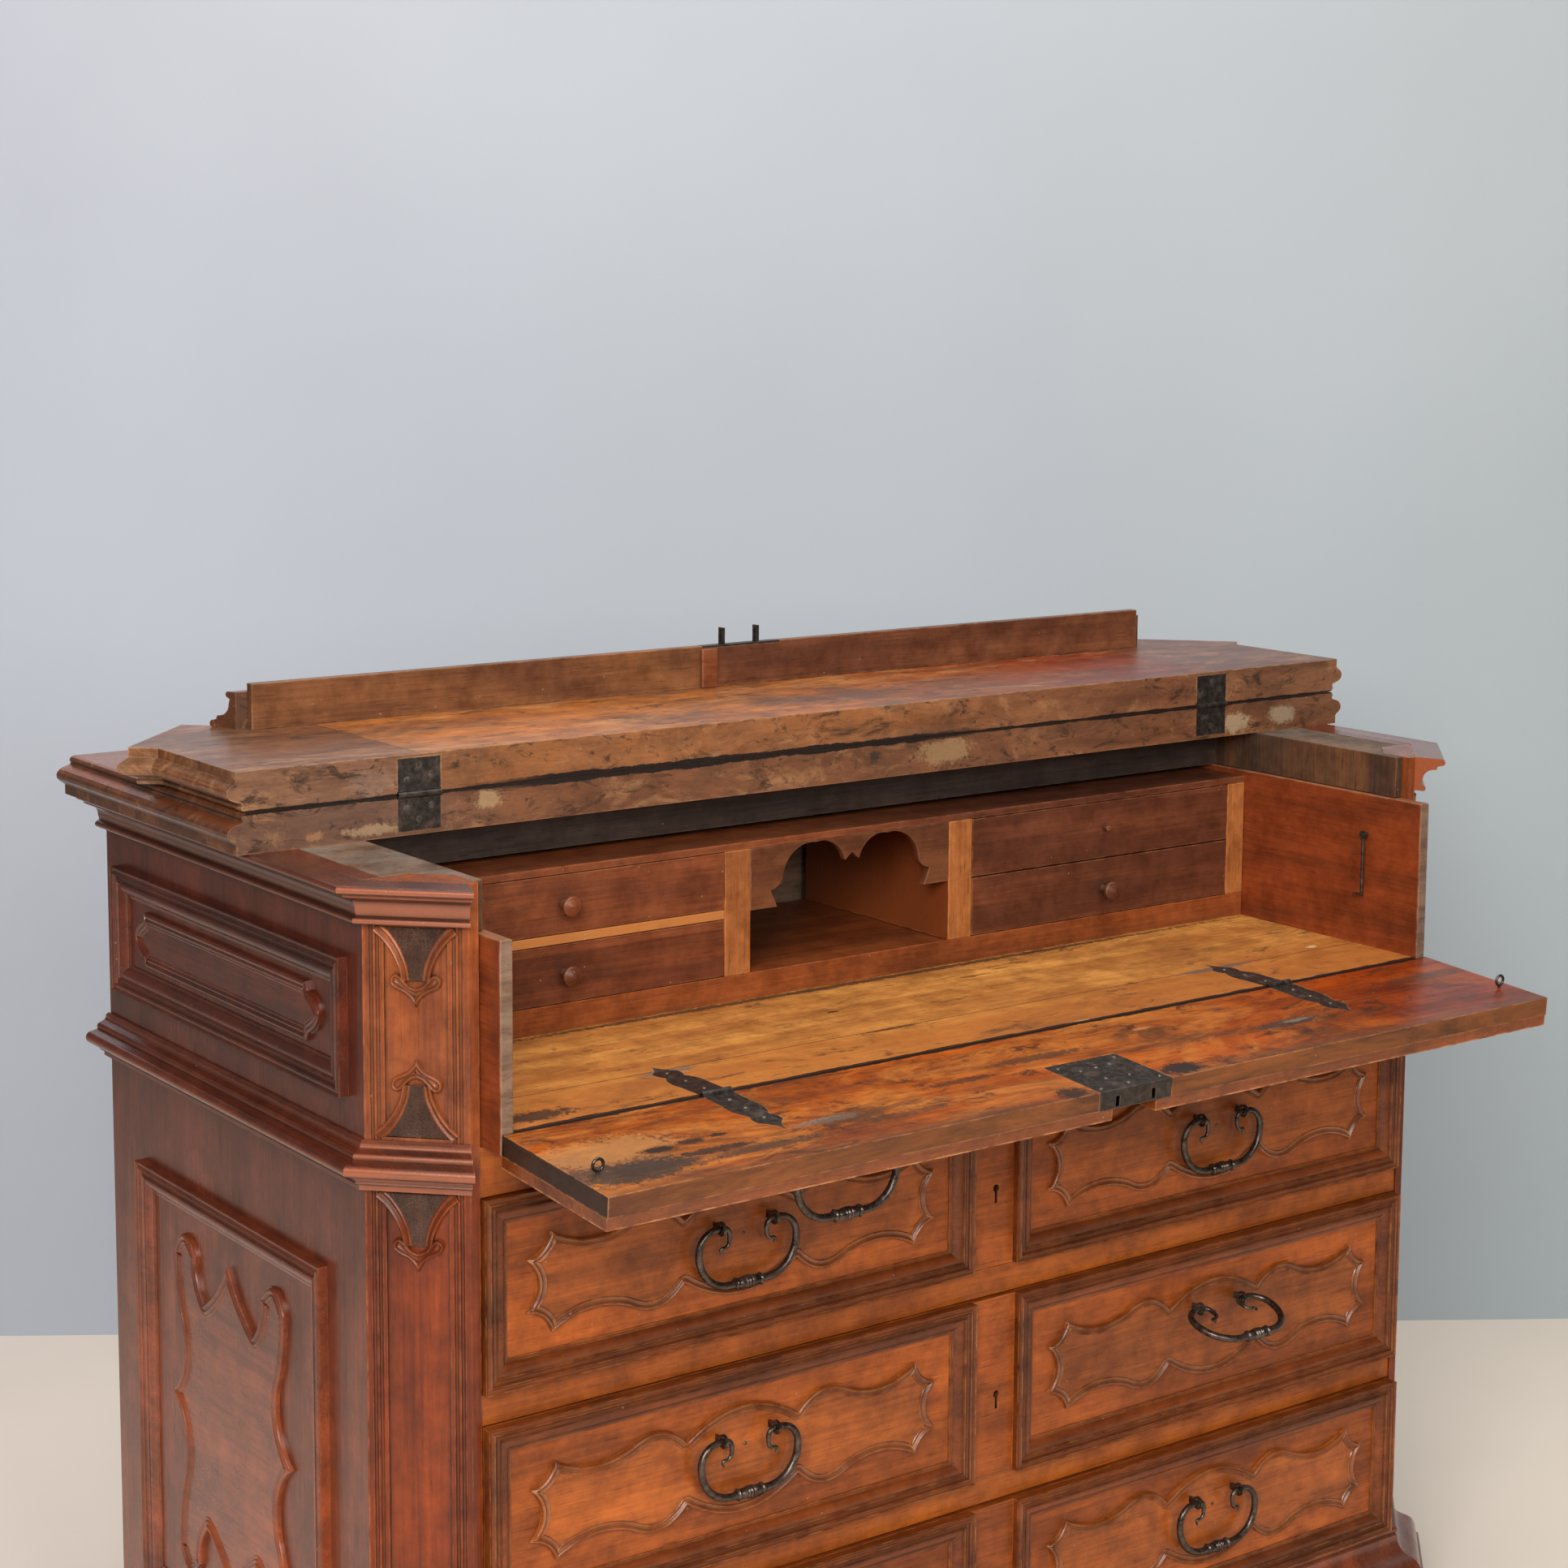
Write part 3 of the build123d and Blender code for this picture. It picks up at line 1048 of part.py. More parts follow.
save("writing_drawer_case", writing_side, flipped(writing_side), writing_back)
save("writing_floor", writing_floor)
save("nest_top", nest_top)
save("nest_uprights", stile, flipped(stile), end_stile, flipped(end_stile))
save("nest_shelves", foot_rail, bay_floor, shelf, thin_shelf)
save("arch_apron", arch_apron)
save(
    "writing_drawer_ironwork", strap_leaf(-STRAP_X, 1), strap_leaf(STRAP_X, 1),
    hook_stud, flipped(hook_stud),
)
save("hook_right", hook)
save("hook_left", Pos(-HOOK_PLANE * 2, 0, 0) * hook)
shelf_high = shelf_low + NEST_SHELF_THICKNESS
save("nest_drawer_left_upper", *make_nest_drawer(-1, shelf_high, BAY_TOP, False, True))
save("nest_drawer_left_lower", *make_nest_drawer(-1, BAY_Z, shelf_low, False, True))
save("nest_drawer_right_upper", *make_nest_drawer(1, shelf_high, BAY_TOP, True, False))
save("nest_drawer_right_lower", *make_nest_drawer(1, BAY_Z, shelf_low, True, True))

save("flap_board", lowered(flap_board))
save("flap_mouldings", *[lowered(piece) for piece in flap_pieces])
save("flap_lock_case", lowered(make_lock_case()))
save("flap_lock_bolt", lowered(make_bolt()))
eye = make_eye()
save("flap_ironwork", lowered(eye), lowered(flipped(eye)), *flap_staples(-1), *flap_staples(1))
save("flap_strap_leaves", lowered(strap_leaf(-STRAP_X, -1)), lowered(strap_leaf(STRAP_X, -1)))
save("flap_handle_left", flap_bail(-1))
save("flap_handle_right", flap_bail(1))

for row_name in ROW_HEIGHTS:
    make_long_drawer(row_name)
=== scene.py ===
# %% [markdown]
# # A baroque walnut writing commode
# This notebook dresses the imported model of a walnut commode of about 1700: a canted case with
# long drawers, a folding top, and a writing drawer with a fall flap and a nest of small drawers.
# The boards, boxes and mouldings come from the model. Here they get old walnut and forged iron
# as materials, and the carving, moulded plaques, handles and nails that a joiner and a smith
# would have added by hand.

# %% Load the frame
import math
import random

import bmesh
import bpy
import numpy as np
from mathutils import Matrix, Vector


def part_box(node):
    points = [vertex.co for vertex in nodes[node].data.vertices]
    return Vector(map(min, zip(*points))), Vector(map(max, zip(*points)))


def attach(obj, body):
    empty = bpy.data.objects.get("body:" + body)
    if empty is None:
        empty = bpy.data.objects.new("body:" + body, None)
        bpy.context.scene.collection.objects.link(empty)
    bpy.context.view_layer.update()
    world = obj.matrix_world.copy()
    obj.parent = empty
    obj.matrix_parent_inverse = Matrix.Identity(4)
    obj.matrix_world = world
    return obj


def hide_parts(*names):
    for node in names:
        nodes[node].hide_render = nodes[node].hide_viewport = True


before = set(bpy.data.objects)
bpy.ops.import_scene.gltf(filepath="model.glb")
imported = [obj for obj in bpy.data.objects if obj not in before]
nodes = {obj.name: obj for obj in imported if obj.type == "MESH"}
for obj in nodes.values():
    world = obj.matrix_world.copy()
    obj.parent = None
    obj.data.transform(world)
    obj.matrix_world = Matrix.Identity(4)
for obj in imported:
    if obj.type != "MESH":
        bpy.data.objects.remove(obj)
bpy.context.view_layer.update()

# %% [markdown]
# The joiner's drawing of this commode measures from the fronts of the corner posts, in
# millimetres. Blender works in metres from a point under the middle of the open commode. One
# small function turns the first into the second, so that all sizes below can be read against
# the drawing.

# %% Working measures
MM = 0.001
SHIFT_Y = -215.35
HALF = 700.0
CANT = 71.0
FLAP_Y = -34.3
FLOOR_Z = 837.5
TOP_Z = 1104.5
CUT_GAP = 0.3
TOP_CUT_Y = 234.0
LEAF_FACE = 234.3
SIDE_MIDDLE = 357.5
DROOP = math.radians(3.9)
PANEL_X = 323.0
ROW_MIDDLE = {"bottom": 227.65, "middle": 449.65, "top": 672.9}
ROW_PROUD = {"bottom": 8.0, "middle": 5.0, "top": 0.0}


def at(x, y, z):
    """A point of the drawing, in metres of the common frame."""
    return Vector((x, y + SHIFT_Y, z)) * MM


def lowered(point):
    """Where a point of the level flap comes to on the flap as it hangs, in the drawing's frame."""
    dy, dz = point[1] - FLAP_Y, point[2] - FLOOR_Z
    c, s = math.cos(DROOP), math.sin(DROOP)
    return (point[0], FLAP_Y + dy * c - dz * s, FLOOR_Z + dy * s + dz * c)


print("hinge line of the flap at", [round(v, 4) for v in at(0, FLAP_Y, FLOOR_Z)])

# %% [markdown]
# The camera stands where the photographer stood: in front of the left corner, at eye height,
# looking slightly down. The picture is a square cut from the lower part of the lens's view,
# which is what the small downward shift does.

# %% Camera
EYE = Vector((-1.9426, -2.48575, 1.6112))
YAW, PITCH, ROLL = 0.633, -0.127, 0.006
ahead = Vector((math.sin(YAW) * math.cos(PITCH), math.cos(YAW) * math.cos(PITCH), math.sin(PITCH)))
level = Vector((math.cos(YAW), -math.sin(YAW), 0))
upward = level.cross(ahead)
right = level * math.cos(ROLL) + upward * math.sin(ROLL)
upward = right.cross(ahead)
lens = bpy.data.cameras.new("photo_view")
lens.lens, lens.sensor_width, lens.shift_y = 67.45, 36.0, -0.0847
camera = bpy.data.objects.new("photo_view", lens)
bpy.context.collection.objects.link(camera)
camera.matrix_world = Matrix.Translation(EYE) @ Matrix((right, upward, -ahead)).transposed().to_4x4()
bpy.context.scene.camera = camera
bpy.context.scene.view_settings.view_transform = "Standard"
print("camera", [round(v, 3) for v in camera.location])

# %% [markdown]
# Shader trees are easier to read when a node is one line. The helpers below add a node, set its
# options, and either fill or link its sockets.

# %% Node helpers
def put(tree, kind, sockets=None, **settings):
    """Add a node, set its options, and fill or link its input sockets."""
    made = tree.nodes.new(kind)
    for key, value in settings.items():
        setattr(made, key, value)
    for key, value in (sockets or {}).items():
        if isinstance(value, bpy.types.NodeSocket):
            tree.links.new(value, made.inputs[key])
        else:
            made.inputs[key].default_value = value
    return made


def blend(tree, share, first, second, mode="MIX"):
    """Mix two colours."""
    return put(
        tree, "ShaderNodeMix", {0: share, 6: first, 7: second}, data_type="RGBA", blend_type=mode
    ).outputs[2]


def sums(tree, operation, first, second=0.0, clamp=False):
    """One step of arithmetic."""
    return put(
        tree, "ShaderNodeMath", {0: first, 1: second}, operation=operation, use_clamp=clamp
    ).outputs[0]


def spread(tree, value, low, high, out_low=0.0, out_high=1.0):
    """Stretch the part of a value between two limits over a new span."""
    sockets = {0: value, 1: low, 2: high, 3: out_low, 4: out_high}
    return put(tree, "ShaderNodeMapRange", sockets, clamp=True).outputs[0]


def scaled(tree, vector, factors):
    """Stretch a vector along each axis."""
    return put(tree, "ShaderNodeVectorMath", {0: vector, 1: factors}, operation="MULTIPLY").outputs[0]


def noise(tree, vector, scale, detail=3.0, roughness=0.5, distortion=0.0):
    """Cloudy noise from 0 to 1."""
    sockets = {
        "Vector": vector, "Scale": scale, "Detail": detail, "Roughness": roughness,
        "Distortion": distortion,
    }
    return put(tree, "ShaderNodeTexNoise", sockets).outputs[0]


def group(name, inputs, outputs):
    """An empty shader node group with named sockets."""
    tree = bpy.data.node_groups.new(name, "ShaderNodeTree")
    for label, kind, value in inputs:
        made = tree.interface.new_socket(label, in_out="INPUT", socket_type="NodeSocket" + kind)
        if value is not None:
            made.default_value = value
    for label, kind in outputs:
        tree.interface.new_socket(label, in_out="OUTPUT", socket_type="NodeSocket" + kind)
    return tree, put(tree, "NodeGroupInput"), put(tree, "NodeGroupOutput")


print("helpers ready")

# %% [markdown]
# ## Walnut grain
# Walnut has broad dark clouds, finer growth bands that wander along the board, and short dark
# pores. All three are noise that is drawn out along the board's length. They are one node
# group, because every board uses them with its own two colours.

# %% Group: walnut grain
grain, src, dst = group(
    "walnut_grain",
    [("Vector", "Vector", None), ("Light", "Color", (0.3, 0.1, 0.03, 1)),
     ("Dark", "Color", (0.1, 0.03, 0.01, 1)), ("Figure", "Float", 0.5), ("Pores", "Float", 0.5),
     ("Patina", "Float", 1.0)],
    [("Color", "Color"), ("Tone", "Float"), ("Height", "Float")],
)
drawn_out = scaled(grain, src.outputs["Vector"], (0.14, 1.0, 1.0))
clouds = spread(grain, noise(grain, drawn_out, 9.0, 4.0, 0.55, 0.6), 0.34, 0.68)
bands = put(
    grain, "ShaderNodeTexWave",
    {"Vector": drawn_out, "Scale": 9.0, "Distortion": 9.0, "Detail": 3.0, "Detail Scale": 1.4},
    bands_direction="DIAGONAL",
).outputs[1]
fibres = noise(grain, scaled(grain, src.outputs["Vector"], (0.035, 1.0, 1.0)), 240.0, 4.0, 0.6)
pores = spread(
    grain, noise(grain, scaled(grain, src.outputs["Vector"], (0.05, 1.0, 1.0)), 620.0, 2.0), 0.60, 0.72
)
banded = sums(grain, "MULTIPLY", sums(grain, "SUBTRACT", bands, 0.5), src.outputs["Figure"])
tone = sums(grain, "ADD", sums(grain, "MULTIPLY", clouds, 0.75), sums(grain, "MULTIPLY", banded, 0.45))
streaked = sums(grain, "MULTIPLY", sums(grain, "SUBTRACT", fibres, 0.5), 1.1)
tone = sums(grain, "ADD", tone, streaked, clamp=True)
poor = sums(grain, "MULTIPLY", pores, src.outputs["Pores"], clamp=True)
plain = blend(grain, tone, src.outputs["Dark"], src.outputs["Light"])
shaded = blend(grain, poor, plain, (0.35, 0.25, 0.2, 1), "MULTIPLY")
handled = spread(grain, noise(grain, src.outputs["Vector"], 26.0, 7.0, 0.72), 0.36, 0.62)
patina = blend(grain, handled, (0.66, 0.60, 0.55, 1), (1.10, 1.10, 1.10, 1))
grain.links.new(
    blend(grain, src.outputs["Patina"], shaded, patina, "MULTIPLY"), dst.inputs["Color"]
)
grain.links.new(tone, dst.inputs["Tone"])
grain.links.new(sums(grain, "SUBTRACT", fibres, pores), dst.inputs["Height"])
print("walnut_grain:", len(grain.nodes), "nodes")

# %% [markdown]
# ## Three centuries of use
# Old wax and dirt collect in the quirks of mouldings and along inner corners. Edges that hands
# and cloths reach are rubbed lighter. Dust lies on what faces up and was never polished. Ambient
# occlusion finds the first, the bevel node the second, and the surface's own normal the third,
# so none of them depends on where the camera stands.

# %% Group: age
age, src, dst = group(
    "age",
    [("Color", "Color", (0.3, 0.1, 0.03, 1)), ("Vector", "Vector", None),
     ("Grime color", "Color", (0.02, 0.012, 0.008, 1)), ("Grime", "Float", 0.7),
     ("Worn color", "Color", (0.45, 0.2, 0.08, 1)), ("Wear", "Float", 0.5),
     ("Dust color", "Color", (0.30, 0.26, 0.21, 1)), ("Dust", "Float", 0.0)],
    [("Color", "Color"), ("Roughness", "Float"), ("Height", "Float")],
)
nook = put(age, "ShaderNodeAmbientOcclusion", {"Distance": 0.02}, samples=4, only_local=True)
soft_dirt = noise(age, src.outputs["Vector"], 38.0, 4.0, 0.6)
hidden = spread(age, nook.outputs["AO"], 0.92, 0.35)
dirt = sums(age, "MULTIPLY", hidden, spread(age, soft_dirt, 0.25, 0.6, 0.45, 1.25))
smears = spread(age, noise(age, src.outputs["Vector"], 16.0, 8.0, 0.72, 0.5), 0.54, 0.74, 0.0, 0.50)
dirt = sums(age, "MULTIPLY", sums(age, "MAXIMUM", dirt, smears), src.outputs["Grime"], clamp=True)
shape_normal = put(age, "ShaderNodeNewGeometry").outputs["True Normal"]
rounded = put(age, "ShaderNodeBevel", {"Radius": 0.0022}, samples=4).outputs[0]
meeting = put(age, "ShaderNodeVectorMath", {0: rounded, 1: shape_normal}, operation="DOT_PRODUCT")
edge = spread(age, meeting.outputs["Value"], 0.995, 0.86)
rub = spread(age, noise(age, src.outputs["Vector"], 55.0, 3.0, 0.6), 0.38, 0.62)
out_facing = spread(age, nook.outputs["AO"], 0.5, 0.9)
worn = sums(age, "MULTIPLY", sums(age, "MULTIPLY", edge, rub), out_facing)
worn = sums(age, "MULTIPLY", worn, src.outputs["Wear"], clamp=True)
facing_up = spread(
    age, put(age, "ShaderNodeSeparateXYZ", {0: shape_normal}).outputs["Z"], 0.75, 0.97
)
drifts = spread(age, noise(age, src.outputs["Vector"], 14.0, 6.0, 0.7), 0.36, 0.62)
dust = sums(age, "MULTIPLY", sums(age, "MULTIPLY", facing_up, drifts), src.outputs["Dust"], clamp=True)
flecks = put(age, "ShaderNodeTexVoronoi", {"Vector": src.outputs["Vector"], "Scale": 75.0})
fleck = sums(age, "MULTIPLY", spread(age, flecks.outputs["Distance"], 0.085, 0.05), 0.35)
chance = put(age, "ShaderNodeSeparateColor", {0: flecks.outputs["Color"]}).outputs[0]
fleck = sums(age, "MULTIPLY", fleck, sums(age, "GREATER_THAN", chance, 0.86))
shade = blend(age, dirt, src.outputs["Color"], src.outputs["Grime color"])
shade = blend(age, worn, shade, src.outputs["Worn color"])
shade = blend(age, fleck, shade, (0.42, 0.34, 0.26, 1))
shade = blend(age, dust, shade, src.outputs["Dust color"])
age.links.new(shade, dst.inputs["Color"])
dull = sums(age, "ADD", sums(age, "MULTIPLY", dirt, 0.25), sums(age, "MULTIPLY", dust, 0.5))
age.links.new(sums(age, "ADD", dull, sums(age, "MULTIPLY", fleck, 0.4)), dst.inputs["Roughness"])
age.links.new(sums(age, "SUBTRACT", soft_dirt, worn), dst.inputs["Height"])
print("age:", len(age.nodes), "nodes")

# %% [markdown]
# ## Wood finishes
# One function lays the two groups over each other for a finish and adds the shader. The case
# sides are dark red-brown, the fronts a warm orange-brown, and the inside, which light and hands
# reach only when the desk is open, is brighter and more stained.

# %% Wood finishes
TURN = {"X": (0, 0, 0), "Y": (0, 0, -math.pi / 2), "Z": (0, math.pi / 2, 0)}
finishes = {}


def wood(name, light, dark, along="X", figure=0.5, pores=0.5, grime=0.7, wear=0.5, dust=0.0,
         rough=0.36, coat=0.06, shine=0.28, worn_to=None, extra=None, last=None, seed=0.0,
         patina=1.0):
    """A waxed and worn walnut finish, with its grain along one axis."""
    material = bpy.data.materials.new(name)
    material.use_nodes = True
    tree = material.node_tree
    shader = tree.nodes["Principled BSDF"]
    here = put(tree, "ShaderNodeTexCoord").outputs["Object"]
    mapped = put(
        tree, "ShaderNodeMapping",
        {"Vector": here, "Location": (seed, seed * 0.37, seed * 0.73), "Rotation": TURN[along]},
    ).outputs[0]
    board = put(tree, "ShaderNodeGroup", node_tree=grain)
    board.inputs["Light"].default_value = (*light, 1)
    board.inputs["Dark"].default_value = (*dark, 1)
    board.inputs["Figure"].default_value = figure
    board.inputs["Pores"].default_value = pores
    board.inputs["Patina"].default_value = patina
    tree.links.new(mapped, board.inputs["Vector"])
    colour = board.outputs["Color"]
    if extra:
        colour = extra(tree, here, colour)
    used = put(tree, "ShaderNodeGroup", node_tree=age)
    tree.links.new(colour, used.inputs["Color"])
    tree.links.new(here, used.inputs["Vector"])
    worn = worn_to or [min(1.0, c * 1.5 + 0.03) for c in light]
    used.inputs["Worn color"].default_value = (*worn, 1)
    used.inputs["Grime"].default_value = grime
    used.inputs["Wear"].default_value = wear
    used.inputs["Dust"].default_value = dust
    gloss = spread(tree, board.outputs["Tone"], 0.0, 1.0, rough + 0.06, rough - 0.05)
    tree.links.new(sums(tree, "ADD", gloss, used.outputs["Roughness"]), shader.inputs["Roughness"])
    colour = last(tree, here, used.outputs["Color"]) if last else used.outputs["Color"]
    tree.links.new(colour, shader.inputs["Base Color"])
    shader.inputs["Coat Weight"].default_value = coat
    shader.inputs["Specular IOR Level"].default_value = shine
    shader.inputs["Coat Roughness"].default_value = 0.22
    fine = put(
        tree, "ShaderNodeBump",
        {"Height": board.outputs["Height"], "Strength": 0.35, "Distance": 0.0004},
    ).outputs[0]
    coarse = put(
        tree, "ShaderNodeBump",
        {"Height": used.outputs["Height"], "Strength": 0.5, "Distance": 0.0006, "Normal": fine},
    ).outputs[0]
    tree.links.new(coarse, shader.inputs["Normal"])
    finishes[name] = material
    return material


def spot(tree, here, centre, size, ragged=1.7):
    """A ragged patch round a point of the drawing: 1 inside, 0 outside."""
    centre = at(*centre)
    moved = put(tree, "ShaderNodeVectorMath", {0: here, 1: tuple(centre)}, operation="SUBTRACT")
    stretch = tuple(1 / (s * MM) for s in size)
    reach = put(
        tree, "ShaderNodeVectorMath", {0: scaled(tree, moved.outputs[0], stretch)}, operation="LENGTH"
    ).outputs["Value"]
    rough_edge = sums(tree, "MULTIPLY", noise(tree, here, 130.0, 8.0, 0.85), ragged * 2)
    return spread(tree, sums(tree, "ADD", reach, rough_edge), 1.0 + ragged, 0.7 + ragged)


def patches(*marks):
    """A step that lays ragged patches of colour over a finish."""
    def step(tree, here, colour):
        for centre, size, tint, strength in marks:
            share = sums(tree, "MULTIPLY", spot(tree, here, centre, size), strength)
            colour = blend(tree, share, colour, (*tint, 1))
        return colour
    return step


def blotched(tree, here, colour, low, high, tint, strength, scale=9.0, drawn=0.35):
    """Uneven stains all over a board, from noise that is drawn out along the grain."""
    stretched = scaled(tree, here, (drawn, 1.0, 1.0))
    share = spread(tree, noise(tree, stretched, scale, 10.0, 0.76, 0.7), low, high, 0.0, strength)
    return blend(tree, share, colour, (*tint, 1))


def facing(tree, colour, direction, tint, strength):
    """Darken the faces that look one way, such as the edge of a board."""
    normal = put(tree, "ShaderNodeTexCoord").outputs["Normal"]
    turned = put(tree, "ShaderNodeVectorMath", {0: normal, 1: direction}, operation="DOT_PRODUCT")
    share = spread(tree, turned.outputs["Value"], 0.6, 0.9, 0.0, strength)
    return blend(tree, share, colour, (*tint, 1) if isinstance(tint, tuple) else tint)


def streaky(tree, here, tint, dark, scale=22.0):
    """A colour with darker streaks along the board, for its edges."""
    return blotched(tree, here, (*tint, 1), 0.42, 0.60, dark, 0.85, scale, 0.2)


INK = (0.014, 0.011, 0.010)
BARE = (0.56, 0.37, 0.20)
BURNT = (0.050, 0.020, 0.010)
CHIP = (0.46, 0.25, 0.11)


def gap_line(tree, here, colour, axis, place, half, strength=0.96):
    """A dark, uneven line where two boards meet."""
    along = put(tree, "ShaderNodeSeparateXYZ", {0: here}).outputs[axis]
    off = sums(tree, "ABSOLUTE", sums(tree, "SUBTRACT", along, place))
    wander = spread(tree, noise(tree, here, 22.0, 6.0, 0.7), 0.3, 0.7, -0.45 * half, 0.55 * half)
    share = spread(tree, sums(tree, "SUBTRACT", off, wander), half * 1.1, half * 0.9, 0.0, strength)
    return blend(tree, share, colour, (0.006, 0.004, 0.004, 1))


def side_shift(tree, here, colour, start, end, tint, strength):
    """A change of tone along the width of the commode."""
    across = put(tree, "ShaderNodeSeparateXYZ", {0: here}).outputs["X"]
    share = spread(tree, across, start * MM, end * MM, 0.0, strength)
    return blend(tree, share, colour, (*tint, 1), "MULTIPLY")


def flap_marks(tree, here, colour):
    """Scrubbed, stained and burnt inner face of the flap, with dark, handled edges."""
    outside = colour
    colour = blotched(tree, here, colour, 0.46, 0.60, (0.52, 0.185, 0.032), 0.85, 9.0)
    colour = side_shift(tree, here, colour, 60, 560, (0.62, 0.34, 0.22), 1.0)
    colour = blotched(tree, here, colour, 0.51, 0.61, (0.085, 0.026, 0.008), 0.80, 15.0)
    colour = blotched(tree, here, colour, 0.55, 0.62, (0.022, 0.012, 0.008), 0.80, 30.0, 0.5)
    out = put(tree, "ShaderNodeSeparateXYZ", {0: here}).outputs["Y"]
    rim_dark = spread(tree, out, (-190 + SHIFT_Y) * MM, (-212 + SHIFT_Y) * MM, 0.0, 0.6)
    colour = blend(tree, rim_dark, colour, (0.085, 0.034, 0.016, 1))
    marks = patches(
        ((-560, -170, 827), (74, 30, 40), (0.035, 0.024, 0.019), 0.92),
        ((-606, -150, 828), (30, 44, 40), (0.060, 0.038, 0.028), 0.70),
        ((-560, -118, 831), (90, 34, 40), (0.46, 0.20, 0.065), 0.60),
        ((-514, -136, 829), (20, 8, 30), INK, 0.95), ((-476, -132, 829), (17, 7, 30), INK, 0.9),
        ((-444, -130, 829), (11, 5, 30), INK, 0.9), ((-470, -160, 829), (60, 7, 30), INK, 0.8),
        ((-420, -176, 828), (70, 9, 30), (0.045, 0.024, 0.014), 0.8),
        ((-255, -168, 828), (60, 8, 30), (0.045, 0.024, 0.014), 0.6),
        ((-330, -146, 829), (44, 8, 30), (0.22, 0.17, 0.13), 0.8),
        ((-318, -152, 829), (50, 13, 30), (0.050, 0.030, 0.018), 0.55),
        ((290, -140, 830), (60, 10, 30), (0.040, 0.026, 0.019), 0.9),
        ((300, -137, 830), (24, 4, 30), (0.20, 0.16, 0.13), 0.7),
        ((76, -196, 827), (30, 18, 30), INK, 0.95), ((-74, -200, 827), (20, 16, 30), INK, 0.85),
        ((-30, -100, 831), (70, 9, 30), (0.050, 0.020, 0.010), 0.75),
        ((-150, -120, 830), (50, 7, 30), (0.050, 0.020, 0.010), 0.8),
        ((130, -80, 833), (16, 4, 30), (0.45, 0.24, 0.12), 0.5),
        ((560, -90, 832), (80, 14, 30), (0.060, 0.022, 0.012), 0.6),
        ((-632, -110, 832), (8, 60, 30), (0.42, 0.27, 0.15), 0.5),
    )
    colour = marks(tree, here, colour)
    normal = put(tree, "ShaderNodeTexCoord").outputs["Normal"]
    inner = put(tree, "ShaderNodeSeparateXYZ", {0: normal}).outputs["Z"]
    colour = blend(tree, spread(tree, inner, 0.0, 0.3), outside, colour)
    front = streaky(tree, here, (0.185, 0.062, 0.016), (0.030, 0.016, 0.010))
    colour = facing(tree, colour, (0, -1, 0), front, 0.85)
    end = streaky(tree, here, (0.026, 0.016, 0.012), (0.010, 0.007, 0.006), 60.0)
    return facing(tree, colour, (-1, 0, 0), end, 0.95)


def flap_gap(tree, here, colour):
    """The dark gap along the hinges, on the flap."""
    return gap_line(tree, here, colour, "Y", (FLAP_Y + SHIFT_Y) * MM, 0.0045)


def floor_gap(tree, here, colour):
    """The dark gap along the hinges, on the floor."""
    return gap_line(tree, here, colour, "Y", (FLAP_Y + 1.2 + SHIFT_Y) * MM, 0.0045)


def floor_marks(tree, here, colour):
    """Writing floor: yellow at the back, browner towards the hinges, with ink and chips."""
    depth = put(tree, "ShaderNodeSeparateXYZ", {0: here}).outputs["Y"]
    toward = spread(tree, depth, (135 + SHIFT_Y) * MM, (20 + SHIFT_Y) * MM, 0.0, 0.70)
    colour = blend(tree, toward, colour, (0.36, 0.105, 0.018, 1))
    colour = blotched(tree, here, colour, 0.49, 0.63, (0.22, 0.070, 0.016), 0.65, 12.0)
    colour = blotched(tree, here, colour, 0.56, 0.66, (0.045, 0.021, 0.012), 0.75, 34.0, 0.5)
    seam = sums(tree, "ABSOLUTE", sums(tree, "SUBTRACT", depth, (62 + SHIFT_Y) * MM))
    colour = blend(tree, spread(tree, seam, 0.0011, 0.0003, 0.0, 0.9), colour, (*INK, 1))
    marks = patches(
        ((-560, -2, 837), (46, 17, 20), INK, 0.85), ((-600, 60, 837), (50, 10, 20), BURNT, 0.6),
        ((100, -30, 837), (30, 3.5, 5), CHIP, 0.9), ((215, -31, 837), (12, 3, 5), CHIP, 0.9),
        ((430, -30, 837), (50, 3, 5), CHIP, 0.85), ((545, 75, 837), (9, 5, 8), BARE, 0.9),
        ((-200, -30, 837), (22, 3, 5), CHIP, 0.8), ((-20, -30, 837), (14, 3, 5), CHIP, 0.8),
        ((300, -30, 837), (16, 3, 5), CHIP, 0.8),
        ((-640, 100, 837), (12, 8, 8), BARE, 0.5), ((0, 240, 838), (620, 7, 12), INK, 0.8),
        ((-100, 150, 837), (8, 3, 8), INK, 0.9), ((-376, 54, 837), (32, 9, 12), (0.12, 0.10, 0.09), 0.8),
        ((-90, 60, 837), (40, 4, 8), BURNT, 0.8), ((130, 190, 837), (30, 3, 8), BURNT, 0.7),
        ((374, 60, 837), (60, 8, 12), (0.10, 0.08, 0.07), 0.8),
    )
    return marks(tree, here, colour)


